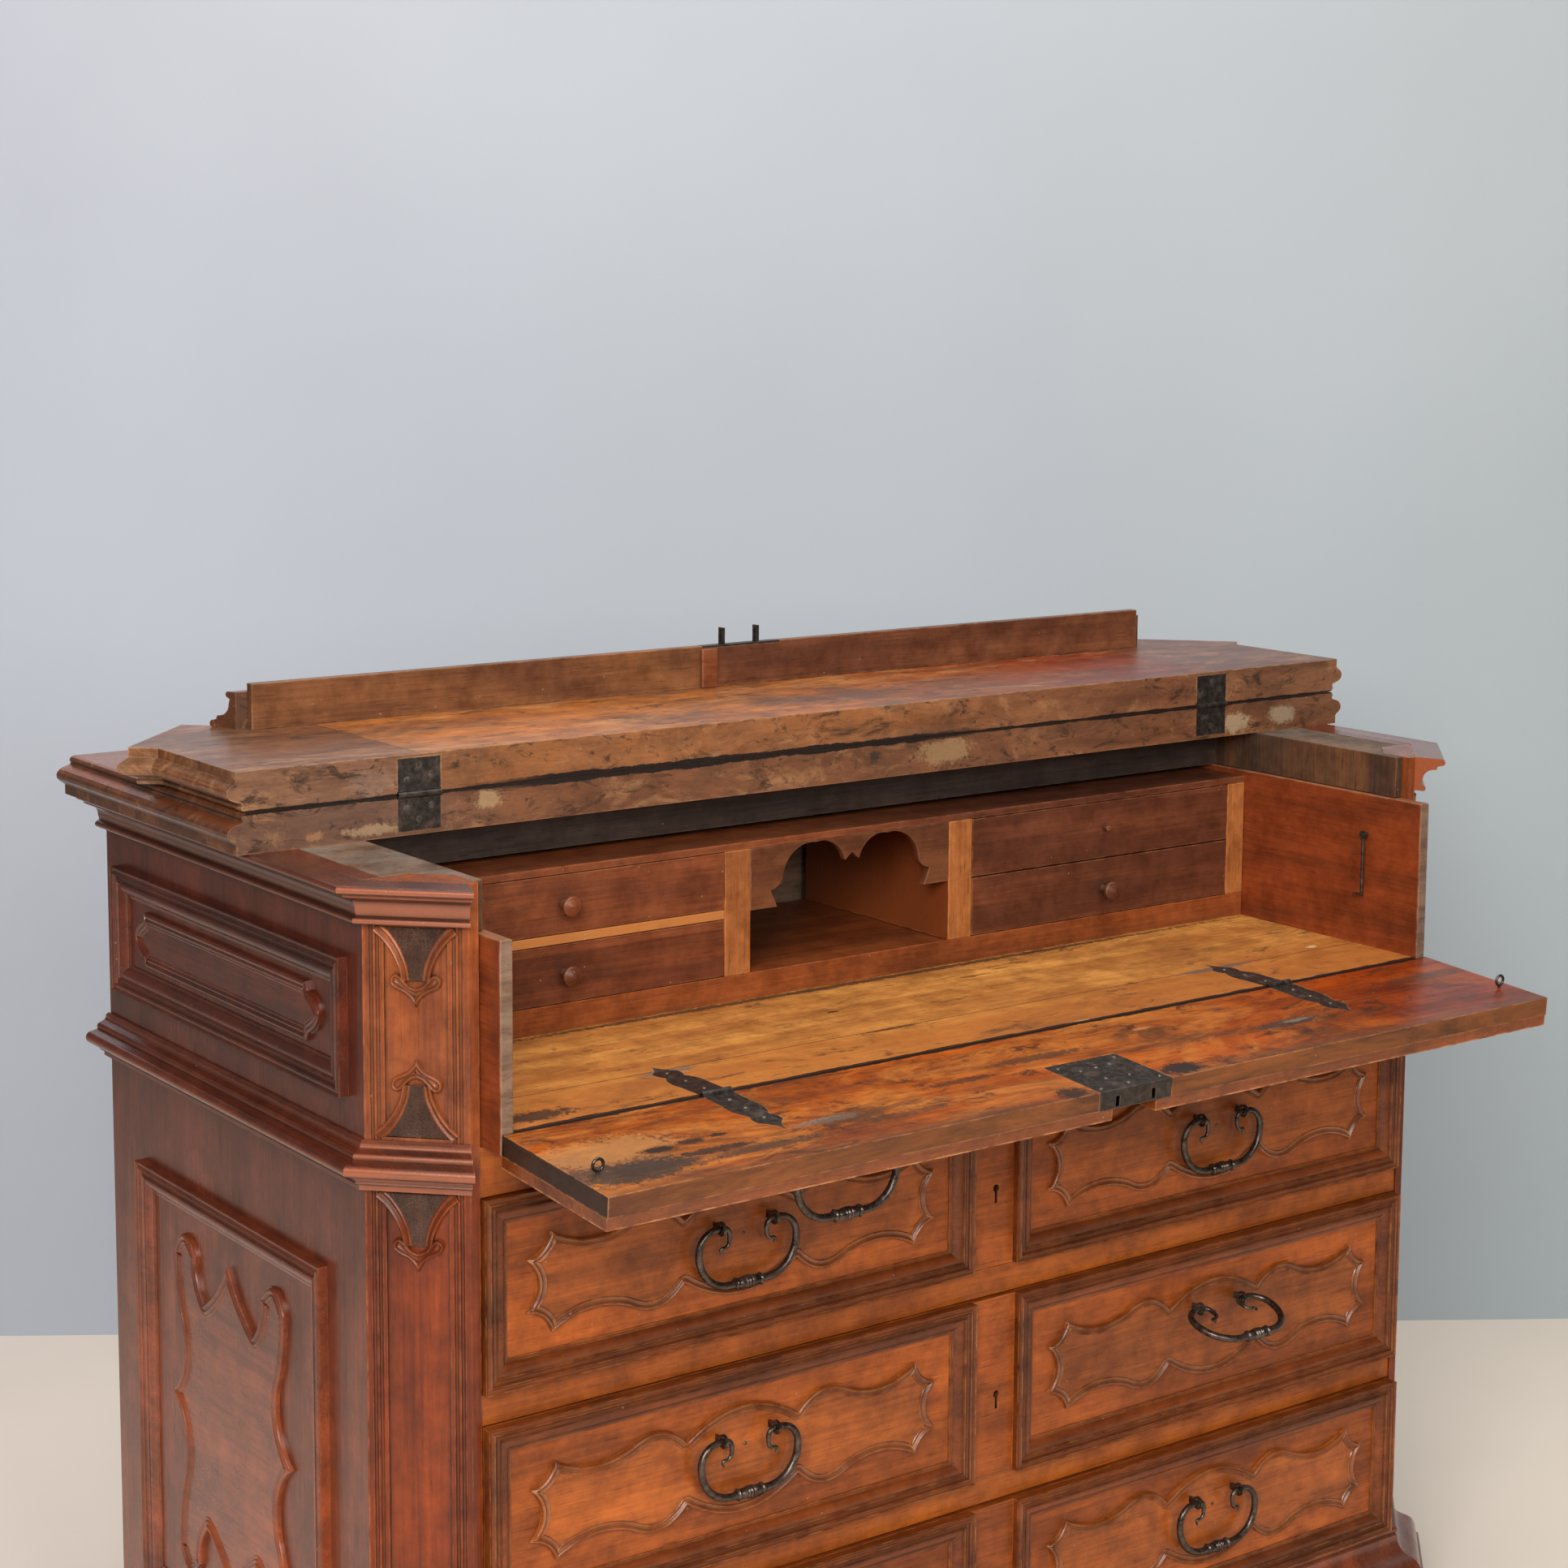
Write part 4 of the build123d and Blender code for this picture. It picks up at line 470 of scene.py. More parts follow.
def lid_marks(tree, here, colour):
    """Underside of the folding board: darker, polished ends and a scrubbed, dirty cut edge."""
    across = put(tree, "ShaderNodeSeparateXYZ", {0: here}).outputs
    end = sums(tree, "GREATER_THAN", sums(tree, "ABSOLUTE", across["X"]), 0.545)
    colour = side_shift(tree, here, colour, -60, 420, (0.50, 0.19, 0.07), 1.0)
    colour = blend(tree, sums(tree, "MULTIPLY", end, 0.72), colour, (0.105, 0.032, 0.014, 1))
    colour = blotched(tree, here, colour, 0.50, 0.64, (0.13, 0.042, 0.015), 0.70, 8.0)
    colour = blotched(tree, here, colour, 0.54, 0.66, (0.54, 0.25, 0.085), 0.60, 17.0)
    colour = gap_line(tree, here, colour, "X", -0.546, 0.0008, 0.8)
    colour = gap_line(tree, here, colour, "X", 0.546, 0.0008, 0.8)
    marks = patches(
        ((60, 330, 1144), (40, 60, 20), (0.09, 0.035, 0.025), 0.6),
        ((-270, 300, 1144), (60, 20, 20), (0.48, 0.25, 0.10), 0.5),
        ((40, 240, 1144), (36, 9, 9), (0.10, 0.07, 0.05), 0.8),
        ((-600, 236, 1120), (30, 9, 14), (0.35, 0.25, 0.16), 0.6),
    )
    front = streaky(tree, here, (0.225, 0.102, 0.046), (0.090, 0.040, 0.020))
    colour = facing(tree, marks(tree, here, colour), (0, -1, 0), front, 0.75)
    colour = side_shift(tree, here, colour, -440, -600, (0.85, 0.95, 1.25), 1.0)
    outer = sums(tree, "LESS_THAN", across["Z"], (TOP_Z + CUT_GAP + 0.8) * MM)
    colour = blend(tree, outer, colour, (0.40, 0.30, 0.50, 1), "MULTIPLY")
    return cut_edge(tree, here, colour)


def cut_edge(tree, here, colour):
    """Dirt and scrapes on the edges where the two top boards meet."""
    colour = blotched(tree, here, colour, 0.50, 0.66, (0.070, 0.030, 0.015), 0.75, 10.0, 0.5)
    colour = blotched(tree, here, colour, 0.54, 0.66, (0.34, 0.17, 0.075), 0.55, 27.0, 0.6)
    colour = blotched(tree, here, colour, 0.55, 0.63, (0.026, 0.015, 0.010), 0.85, 38.0, 0.4)
    return blotched(tree, here, colour, 0.58, 0.62, (0.030, 0.016, 0.010), 0.75, 75.0, 0.6)


def cut_gap(tree, here, colour):
    """The black gap between the two top boards, wider in the middle, where they have warped."""
    across = put(tree, "ShaderNodeSeparateXYZ", {0: here}).outputs["X"]
    middle = sums(tree, "ABSOLUTE", sums(tree, "ADD", across, 0.16))
    thin = gap_line(tree, here, colour, "Z", TOP_Z * MM, 0.0022, 0.98)
    wide = gap_line(tree, here, colour, "Z", TOP_Z * MM, 0.0042, 0.98)
    black = blend(tree, spread(tree, middle, 0.36, 0.24), thin, wide)
    normal = put(tree, "ShaderNodeTexCoord").outputs["Normal"]
    front = put(tree, "ShaderNodeSeparateXYZ", {0: normal}).outputs["Y"]
    return blend(tree, sums(tree, "LESS_THAN", front, -0.2), colour, black)


def grey_front(tree, here, colour):
    """The front ends of the writing drawer's sides are bare, grey end grain."""
    front = streaky(tree, here, (0.205, 0.135, 0.090), (0.090, 0.055, 0.038), 70.0)
    colour = facing(tree, colour, (0, -1, 0), front, 0.9)
    return facing(tree, colour, (0, 0, 1), (0.240, 0.120, 0.055), 0.6)


def nest_marks(tree, here, colour):
    """The right drawers are darker than the left ones, the lower left drawers darker still, and some edges
    are rubbed bare.
    """
    colour = side_shift(tree, here, colour, -150, 150, (0.70, 0.77, 0.94), 1.0)
    apart = put(tree, "ShaderNodeSeparateXYZ", {0: here}).outputs
    lower = sums(tree, "MULTIPLY", sums(tree, "LESS_THAN", apart["Z"], 0.919), 0.9)
    lower = sums(tree, "MULTIPLY", lower, sums(tree, "LESS_THAN", apart["X"], -0.05))
    colour = blend(tree, lower, colour, (0.66, 0.64, 0.74, 1), "MULTIPLY")
    marks = patches(
        ((253, 362, 1003), (9, 60, 5), (0.42, 0.22, 0.10), 0.8),
        ((140, 362, 967), (5, 60, 30), (0.38, 0.20, 0.09), 0.8),
        ((-268, 362, 921), (190, 60, 2.5), (0.40, 0.17, 0.05), 0.7),
        ((-66, 362, 1004), (9, 60, 4), INK, 0.8),
    )
    return marks(tree, here, colour)


def cell_walls(tree, here, colour):
    """The faces inside the pigeonhole are darker than the front edges."""
    return facing(tree, colour, (-1, 0, 0), (0.175, 0.040, 0.011), 0.95)


def post_painted_sheen(tree, here, colour):
    """The upper panels of the posts are painted paler and greyer, a painted sheen."""
    height = put(tree, "ShaderNodeSeparateXYZ", {0: here}).outputs["Z"]
    return blend(tree, spread(tree, height, 0.79, 0.82), colour, (1.44, 2.35, 4.6, 1), "MULTIPLY")


def cant_red_and_sheen(tree, here, colour):
    """The mouldings are a lighter red on the faces that look towards the front corners, and their lower
    part gets the painted sheen of the sides.
    """
    colour = facing(tree, side_painted_sheen(tree, here, colour), (-0.707, -0.707, 0), (0.34, 0.095, 0.036), 0.65)
    return facing(tree, colour, (0.707, -0.707, 0), (0.34, 0.095, 0.036), 0.65)


def fascia_marks(tree, here, colour):
    """Worm holes, and a redder right half."""
    colour = side_shift(tree, here, colour, -45, -38, (0.78, 0.70, 0.80), 1.0)
    holes = put(tree, "ShaderNodeTexVoronoi", {"Vector": here, "Scale": 60.0})
    chance = put(tree, "ShaderNodeSeparateColor", {0: holes.outputs["Color"]}).outputs[1]
    share = sums(tree, "MULTIPLY", spread(tree, holes.outputs["Distance"], 0.10, 0.07), 0.9)
    share = sums(tree, "MULTIPLY", share, sums(tree, "GREATER_THAN", chance, 0.93))
    return blend(tree, share, colour, (0.45, 0.30, 0.18, 1))


def top_marks(tree, here, colour):
    """The fixed board's cut edge was never polished: grey-brown, with plugged old mortises."""
    colour = blotched(tree, here, colour, 0.53, 0.68, (0.09, 0.040, 0.022), 0.6, 14.0)
    colour = facing(tree, colour, (0, 0, 1), (0.340, 0.070, 0.015), 0.6)
    front = streaky(tree, here, (0.190, 0.082, 0.038), (0.070, 0.032, 0.017))
    colour = facing(tree, colour, (0, -1, 0), front, 0.75)
    colour = side_shift(tree, here, colour, -440, -600, (0.75, 0.95, 1.40), 1.0)
    colour = cut_edge(tree, here, colour)
    marks = patches(
        ((-662, 234, 1074), (9, 6, 6), (0.26, 0.13, 0.06), 0.8),
        ((-598, 234, 1074), (34, 6, 6), (0.28, 0.18, 0.10), 0.8),
        ((-470, 234, 1092), (16, 6, 12), (0.34, 0.22, 0.11), 0.7),
        ((570, 234, 1080), (26, 6, 14), (0.34, 0.25, 0.15), 0.8),
        ((650, 234, 1084), (26, 6, 12), (0.30, 0.22, 0.14), 0.8),
        ((120, 234, 1087), (40, 6, 16), (0.28, 0.17, 0.08), 0.7),
        ((20, 234, 1090), (9, 6, 8), (0.030, 0.022, 0.018), 0.9),
    )
    return marks(tree, here, colour)


def side_painted_sheen(tree, here, colour):
    """The lower part of the sides is painted lighter: a painted sheen, the reflection of the pale floor.
    """
    height = put(tree, "ShaderNodeSeparateXYZ", {0: here}).outputs["Z"]
    share = spread(tree, height, 0.80, 0.50)
    return blend(tree, share, colour, (2.4, 3.1, 2.5, 1), "MULTIPLY")


def shelf_edge(tree, here, colour):
    """The bare edge of the shelf shows between the left drawers of the nest."""
    apart = put(tree, "ShaderNodeSeparateXYZ", {0: here}).outputs
    share = sums(tree, "MULTIPLY", sums(tree, "GREATER_THAN", apart["Z"], 0.895), 0.85)
    share = sums(tree, "MULTIPLY", share, sums(tree, "LESS_THAN", apart["X"], -0.11))
    return blend(tree, share, colour, (0.44, 0.17, 0.045, 1))


def back_seams(tree, here, colour):
    """The joints between the three broad boards of the back."""
    low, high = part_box("back_boards")
    for share in (1 / 3, 2 / 3):
        place = low[2] + (high[2] - low[2]) * share
        colour = gap_line(tree, here, colour, "Z", place, 0.0014, 0.9)
    return colour


def plaque_field(middle):
    """Drawer mouldings: the plaque has the lighter tone of the front, its frame stays darker."""
    def step(tree, here, colour):
        apart = put(tree, "ShaderNodeSeparateXYZ", {0: here}).outputs
        across = sums(tree, "SUBTRACT", sums(tree, "ABSOLUTE", apart["X"]), PANEL_X * MM)
        inside = sums(tree, "LESS_THAN", sums(tree, "ABSOLUTE", across), 0.256)
        up = sums(tree, "SUBTRACT", apart["Z"], middle * MM)
        inside = sums(
            tree, "MULTIPLY", inside, sums(tree, "LESS_THAN", sums(tree, "ABSOLUTE", up), 0.057)
        )
        return blend(tree, inside, colour, (1.95, 2.1, 1.6, 1), "MULTIPLY")
    return step


# The lower part of the sides and their trim is painted lighter, a painted sheen.
wood("side_walnut", (0.136, 0.023, 0.009), (0.057, 0.010, 0.004), "Z", 0.4, 0.3, 0.4, 0.4,
     rough=0.27, coat=0.34, shine=0.45, worn_to=(0.22, 0.070, 0.032), extra=side_painted_sheen)
wood("side_trim", (0.140, 0.023, 0.008), (0.050, 0.009, 0.004), "Y", 0.4, 0.3, 0.7, 0.4,
     rough=0.25, coat=0.40, shine=0.5, worn_to=(0.27, 0.085, 0.034), extra=side_painted_sheen)
# The corner mouldings get the same painted sheen low down as the sides.
wood("case_moulding_walnut", (0.150, 0.029, 0.010), (0.052, 0.011, 0.005), "Y", 0.4, 0.3, 0.7, 0.6,
     rough=0.24, coat=0.36, shine=0.5, worn_to=(0.34, 0.11, 0.04), extra=cant_red_and_sheen)
# The upper part of the posts is painted paler and greyer, a painted sheen.
wood("post_walnut", (0.262, 0.042, 0.005), (0.097, 0.015, 0.003), "Z", 0.6, 0.4, 0.85, 0.6,
     rough=0.25, coat=0.14, shine=0.3, worn_to=(0.40, 0.13, 0.04), extra=post_painted_sheen)
wood("front_walnut", (0.430, 0.100, 0.013), (0.180, 0.041, 0.007), "X", 0.6, 0.5, 0.8, 0.6,
     worn_to=(0.50, 0.20, 0.06))
wood("rail_walnut", (0.390, 0.098, 0.011), (0.185, 0.042, 0.006), "X", 0.5, 0.5, 0.6, 0.6, seed=3.0)
for row, middle in ROW_MIDDLE.items():
    wood(f"{row}_mouldings_walnut", (0.235, 0.054, 0.010), (0.095, 0.022, 0.005), "X", 0.5, 0.4,
         0.8, 0.8, rough=0.32, coat=0.12, worn_to=(0.44, 0.17, 0.05), extra=plaque_field(middle),
         seed=5.0)
wood("frame_walnut", (0.300, 0.072, 0.012), (0.120, 0.029, 0.006), "X", 0.4, 0.4, 0.8, 0.9,
     rough=0.25, coat=0.2, shine=0.45, worn_to=(0.48, 0.20, 0.07), seed=5.0)
wood("flap_walnut", (0.480, 0.104, 0.007), (0.180, 0.036, 0.004), "X", 0.8, 0.7, 0.8, 0.8,
     rough=0.34, coat=0.06, worn_to=(0.54, 0.24, 0.09), extra=flap_marks, last=flap_gap, seed=1.0)
wood("floor_walnut", (0.630, 0.300, 0.070), (0.380, 0.140, 0.029), "X", 0.9, 0.9, 0.7, 0.7,
     rough=0.45, coat=0.03, worn_to=(0.56, 0.33, 0.16), extra=floor_marks, last=floor_gap, seed=2.0)
wood("lid_walnut", (0.620, 0.195, 0.024), (0.260, 0.070, 0.010), "X", 0.7, 0.7, 0.8, 0.9,
     dust=0.05, rough=0.34, coat=0.10, shine=0.4, worn_to=(0.50, 0.28, 0.14), extra=lid_marks,
     last=cut_gap, seed=4.0)
wood("top_walnut", (0.245, 0.062, 0.016), (0.090, 0.023, 0.008), "X", 0.5, 0.5, 0.8, 0.6,
     rough=0.27, coat=0.25, shine=0.45, worn_to=(0.34, 0.13, 0.05), extra=top_marks, last=cut_gap,
     seed=6.0)
wood("nest_walnut", (0.320, 0.090, 0.029), (0.133, 0.037, 0.015), "X", 0.5, 0.4, 0.8, 0.8,
     worn_to=(0.36, 0.16, 0.07), extra=nest_marks, seed=7.0)
wood("nest_pale", (0.515, 0.192, 0.052), (0.268, 0.090, 0.026), "Z", 0.5, 0.6, 0.8, 0.7,
     extra=cell_walls, seed=8.0)
wood("nest_apron", (0.165, 0.058, 0.024), (0.076, 0.027, 0.012), "X", 0.5, 0.5, 0.8, 0.8, seed=8.5)
wood("nest_red", (0.325, 0.081, 0.019), (0.140, 0.036, 0.011), "X", 0.4, 0.4, 0.9, 0.6,
     coat=0.12, extra=shelf_edge, seed=9.0)
wood("drawer_side_walnut", (0.290, 0.057, 0.014), (0.120, 0.025, 0.008), "Y", 0.7, 0.5, 0.8, 0.8,
     coat=0.12, worn_to=(0.42, 0.26, 0.16), extra=grey_front, seed=10.0)
wood("fascia_walnut", (0.275, 0.108, 0.039), (0.121, 0.046, 0.020), "X", 0.6, 0.6, 0.7, 0.8,
     dust=0.15, worn_to=(0.40, 0.24, 0.12), extra=fascia_marks, seed=11.0)
wood("end_grain", (0.165, 0.069, 0.028), (0.045, 0.026, 0.017), "Z", 0.3, 0.9, 0.9, 0.5,
     dust=0.36, rough=0.60, coat=0.0, seed=12.0)
wood("pale_wood", (0.420, 0.230, 0.095), (0.200, 0.092, 0.038), "X", 0.9, 0.9, 0.35, 0.3,
     dust=0.3, rough=0.60, coat=0.0, seed=13.0, patina=0.25)
wood("back_wood", (0.380, 0.205, 0.085), (0.170, 0.080, 0.034), "X", 0.9, 0.9, 0.5, 0.3, dust=0.3,
     rough=0.60, coat=0.0, last=back_seams, seed=15.0, patina=0.25)
# The top cross rail is painted nearly black, a painted shade, with some dust.
wood("painted_shade_wood", (0.068, 0.043, 0.034), (0.024, 0.016, 0.012), "X", 0.4, 0.6, 0.6, 0.5,
     dust=0.25, rough=0.50, coat=0.0, seed=14.0)
print(len(finishes), "wood finishes")

# %% [markdown]
# ## Forged iron
# The handles, hinges and locks are wrought iron, blackened in the forge and then burnished by
# three centuries of fingers. It is nearly black in the hollows and a soft steel grey where it is
# touched, with a little rust between the two.

# %% Iron
def iron(name, base, bright, rough, rust):
    """Blackened iron, burnished on its edges and rusty in places."""
    material = bpy.data.materials.new(name)
    material.use_nodes = True
    tree = material.node_tree
    shader = tree.nodes["Principled BSDF"]
    here = put(tree, "ShaderNodeTexCoord").outputs["Object"]
    pitted = noise(tree, here, 160.0, 4.0, 0.6)
    colour = blend(tree, spread(tree, pitted, 0.4, 0.65), (*base, 1), (*bright, 1))
    rusty = spread(tree, noise(tree, here, 45.0, 5.0, 0.7), 0.52, 0.68, 0.0, rust)
    colour = blend(tree, rusty, colour, (0.13, 0.048, 0.020, 1))
    used = put(tree, "ShaderNodeGroup", node_tree=age)
    tree.links.new(colour, used.inputs["Color"])
    tree.links.new(here, used.inputs["Vector"])
    used.inputs["Worn color"].default_value = (0.24, 0.215, 0.195, 1)
    used.inputs["Wear"].default_value = 0.6
    used.inputs["Grime"].default_value = 0.5
    tree.links.new(used.outputs["Color"], shader.inputs["Base Color"])
    rougher = sums(tree, "ADD", spread(tree, pitted, 0.3, 0.7, rough - 0.08, rough + 0.12), rusty)
    tree.links.new(sums(tree, "MINIMUM", rougher, 0.9), shader.inputs["Roughness"])
    tree.links.new(spread(tree, rusty, 0.0, 0.6, 0.85, 0.2), shader.inputs["Metallic"])
    hammered = put(
        tree, "ShaderNodeBump",
        {"Height": noise(tree, here, 120.0, 3.0, 0.5), "Strength": 0.6, "Distance": 0.0006},
    ).outputs[0]
    tree.links.new(hammered, shader.inputs["Normal"])
    finishes[name] = material
    return material


iron("handle_iron", (0.048, 0.036, 0.029), (0.115, 0.087, 0.071), 0.27, 0.25)
iron("plate_iron", (0.048, 0.040, 0.034), (0.078, 0.067, 0.059), 0.40, 0.3)
iron("dull_iron", (0.100, 0.082, 0.070), (0.190, 0.165, 0.145), 0.55, 0.5)
print("iron finishes ready")

# %% [markdown]
# ## Dressing the boards
# Every board of the model keeps its shape and gets a finish. Its mesh is loose triangles, so on
# the boards listed in ROUNDED a Weld joins them, a planar Decimate joins the triangles of each flat
# face, and a small Bevel rounds the edges as planing and wear have done. The modifiers stay live,
# so the model's own mesh is untouched.

# %% Finishes of the boards
DRESS = {
    "side_walnut": "left_side right_side",
    "side_trim": "side_mouldings base_moulding feet",
    "case_moulding_walnut": "case_mouldings",
    "post_walnut": "left_post right_post",
    "rail_walnut": "front_rails",
    "front_walnut": "bottom_drawer_front middle_drawer_front top_drawer_front",
    "frame_walnut": "flap_mouldings",
    "bottom_mouldings_walnut": "bottom_drawer_mouldings",
    "middle_mouldings_walnut": "middle_drawer_mouldings",
    "top_mouldings_walnut": "top_drawer_mouldings",
    "flap_walnut": "flap_board",
    "floor_walnut": "writing_floor",
    "lid_walnut": "folding_top",
    "top_walnut": "fixed_top fascia_moulding",
    "fascia_walnut": "fascia_board",
    "nest_walnut": "nest_top nest_drawer_left_upper nest_drawer_left_lower "
                   "nest_drawer_right_upper nest_drawer_right_lower",
    "nest_pale": "nest_uprights",
    "nest_apron": "arch_apron",
    "nest_red": "nest_shelves",
    "drawer_side_walnut": "writing_drawer_case",
    "end_grain": "top_side_rails",
    "painted_shade_wood": "top_cross_rail",
    "back_wood": "back_boards",
    "pale_wood": "inner_frame bottom_drawer_box middle_drawer_box top_drawer_box",
    "plate_iron": "flap_lock_case flap_strap_leaves writing_drawer_ironwork flap_lock_bolt "
                  "top_hinge_fixed_leaves top_hinge_folding_leaves staple_plate",
    "handle_iron": "hook_left hook_right flap_ironwork bottom_drawer_ironwork "
                   "middle_drawer_ironwork top_drawer_ironwork flap_handle_left "
                   "flap_handle_right",
}
ROUNDED = {
    "flap_board": 1.6, "writing_floor": 1.0, "writing_drawer_case": 1.6, "nest_top": 0.8,
    "nest_uprights": 0.9, "nest_shelves": 0.8, "arch_apron": 0.8, "fascia_board": 0.9,
    "front_rails": 0.8, "left_side": 1.0, "right_side": 1.0, "top_side_rails": 1.2,
    "fixed_top": 1.0, "folding_top": 1.0, "flap_lock_case": 0.4,
    "bottom_drawer_front": 0.8, "middle_drawer_front": 0.8, "top_drawer_front": 0.8,
    "nest_drawer_left_upper": 0.6, "nest_drawer_left_lower": 0.6,
    "nest_drawer_right_upper": 0.6, "nest_drawer_right_lower": 0.6,
}


def dress(name, material):
    """Give a node's object a finish on each of its slots."""
    thing = nodes[name]
    if not thing.material_slots:
        thing.data.materials.append(None)
    for place in thing.material_slots:
        place.link = "OBJECT"
        place.material = material


for finish, names in DRESS.items():
    for name in names.split():
        dress(name, finishes[finish])
for row in ROW_MIDDLE:
    for side in ("left", "right"):
        dress(f"{row}_drawer_handle_{side}", finishes["handle_iron"])
dress("pilaster_carvings", finishes["post_walnut"])
for name, width in ROUNDED.items():
    weld = nodes[name].modifiers.new("join_triangles", "WELD")
    weld.merge_threshold = 0.00001
    flat = nodes[name].modifiers.new("join_flat_faces", "DECIMATE")
    flat.decimate_type, flat.angle_limit = "DISSOLVE", math.radians(1.0)
    edge_round = nodes[name].modifiers.new("rounded_edges", "BEVEL")
    edge_round.width, edge_round.segments = width * MM, 2
    edge_round.limit_method, edge_round.angle_limit = "ANGLE", math.radians(35)
    edge_round.harden_normals = False
print("dressed", sum(len(v.split()) for v in DRESS.values()), "nodes,", len(ROUNDED), "rounded")

# %% [markdown]
# ## Making meshes
# The pieces below are made point by point. A piece comes from lists of points and faces in
# metres of the common frame, gets smooth shading with its sharp arrises kept, and rides on the
# body that carries it.

# %% Mesh helpers
def piece(name, points, faces, material, body, replaces=(), sharp=34.0, join=0.02):
    """A finished mesh piece on one body."""
    mesh = bpy.data.meshes.new(name)
    mesh.from_pydata([tuple(p) for p in points], [], faces)
    work = bmesh.new()
    work.from_mesh(mesh)
    bmesh.ops.remove_doubles(work, verts=work.verts, dist=join * MM)
    bmesh.ops.dissolve_degenerate(work, edges=work.edges, dist=join * MM * 0.5)
    bmesh.ops.recalc_face_normals(work, faces=work.faces)
    work.to_mesh(mesh)
    work.free()
    return settle(name, mesh, material, body, replaces, sharp)


def settle(name, mesh, material, body, replaces=(), sharp=34.0):
    """Turn a mesh into a piece that rides on a body."""
    thing = bpy.data.objects.new(name, mesh)
    bpy.context.collection.objects.link(thing)
    mesh.materials.clear()
    mesh.materials.append(finishes[material])
    mesh.shade_smooth()
    mesh.set_sharp_from_angle(angle=math.radians(sharp))
    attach(thing, body)
    if replaces:
        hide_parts(*replaces)
    return thing


def tube(path, radii, sides=14):
    """A round bar along a path, thick as given at each point, closed at both ends."""
    points, faces = [], []
    path = [Vector(p) for p in path]
    normal = (path[1] - path[0]).orthogonal().normalized()
    for k, centre in enumerate(path):
        ahead_of = path[min(k + 1, len(path) - 1)] - path[max(k - 1, 0)]
        tangent = ahead_of.normalized()
        normal = (normal - tangent * normal.dot(tangent)).normalized()
        other = tangent.cross(normal)
        for j in range(sides):
            a = 2 * math.pi * j / sides
            points.append(centre + (normal * math.cos(a) + other * math.sin(a)) * radii[k])
    for k in range(len(path) - 1):
        for j in range(sides):
            n = (j + 1) % sides
            faces.append((k * sides + j, k * sides + n, (k + 1) * sides + n, (k + 1) * sides + j))
    faces.append(tuple(range(sides))[::-1])
    faces.append(tuple(range((len(path) - 1) * sides, len(path) * sides)))
    return points, faces


def joined(*parts):
    """Several point and face lists as one."""
    points, faces = [], []
    for some_points, some_faces in parts:
        base = len(points)
        points += list(some_points)
        faces += [tuple(i + base for i in face) for face in some_faces]
    return points, faces


def turning(profile, axis, centre, sides=24):
    """A turned shape: radius and height pairs, spun round an axis through a centre."""
    axis = Vector(axis).normalized()
    first = axis.orthogonal().normalized()
    second = axis.cross(first)
    points, faces = [], []
    for radius, height in profile:
        for j in range(sides):
            a = 2 * math.pi * j / sides
            arm = first * math.cos(a) + second * math.sin(a)
            points.append(Vector(centre) + axis * height + arm * max(radius, 0.0))
    for k in range(len(profile) - 1):
        for j in range(sides):
            n = (j + 1) % sides
            faces.append((k * sides + j, k * sides + n, (k + 1) * sides + n, (k + 1) * sides + j))
    faces.append(tuple(range(sides))[::-1])
    faces.append(tuple(range((len(profile) - 1) * sides, len(profile) * sides)))
    return points, faces


print("mesh helpers ready")

# %% [markdown]
# ## Handles
# Each drawer is pulled by two C-scroll bails. The smith drew the bar out to thin ends, bent it
# into a C, curled the ends, and set a moulded collar on the middle of the grip. A bar along a
# rounded path with its own thickness at each point is that bar, and a turned profile is the
# collar.

# %% Bail path
def rounded_path(corners, radii, step=1.6):
    """A path through corners that are rounded with the given radii."""
    path = [Vector(corners[0])]
    for before, corner, after, radius in zip(corners, corners[1:], corners[2:], radii):
        before, corner, after = Vector(before), Vector(corner), Vector(after)
        into, out_of = (before - corner).normalized(), (after - corner).normalized()
        half = math.acos(max(-1, min(1, into.dot(out_of)))) / 2
        reach = radius / math.tan(half)
        centre = corner + (into + out_of).normalized() * radius / math.sin(half)
        start, end = corner + into * reach, corner + out_of * reach
        turn = math.pi - 2 * half
        count = max(3, int(radius * turn / step))
        a, b = start - centre, end - centre
        for k in range(count + 1):
            t = k / count
            bent = (a * math.sin((1 - t) * turn) + b * math.sin(t * turn)) / math.sin(turn)
            path.append(centre + bent)
    path.append(Vector(corners[-1]))
    dense = [path[0]]
    for point in path[1:]:
        gap = (point - dense[-1]).length
        for k in range(1, max(1, round(gap / (step * 2))) + 1):
            dense.append(dense[-1].lerp(point, 1 / (max(1, round(gap / (step * 2))) - k + 1)))
    return [p for k, p in enumerate(dense) if k == 0 or (p - dense[k - 1]).length > 0.3]


BAIL_HALF, BAIL_DROP = 58.5, 59.0
half_path = [(31.5, 0, -26.0), (34.6, 0, -19.5), (22.8, 0, -21.1), (21.6, 0, 0.0), (58.5, 0, 0.0),
             (58.5, 0, -59.0), (0, 0, -59.0)]
half_bar = rounded_path(half_path, [2.2, 6.4, 8.2, 21.0, 36.3])
lengths = [0.0]
for p, q in zip(half_bar, half_bar[1:]):
    lengths.append(lengths[-1] + (q - p).length)
print("half a bail is", round(lengths[-1]), "mm of bar in", len(half_bar), "points")

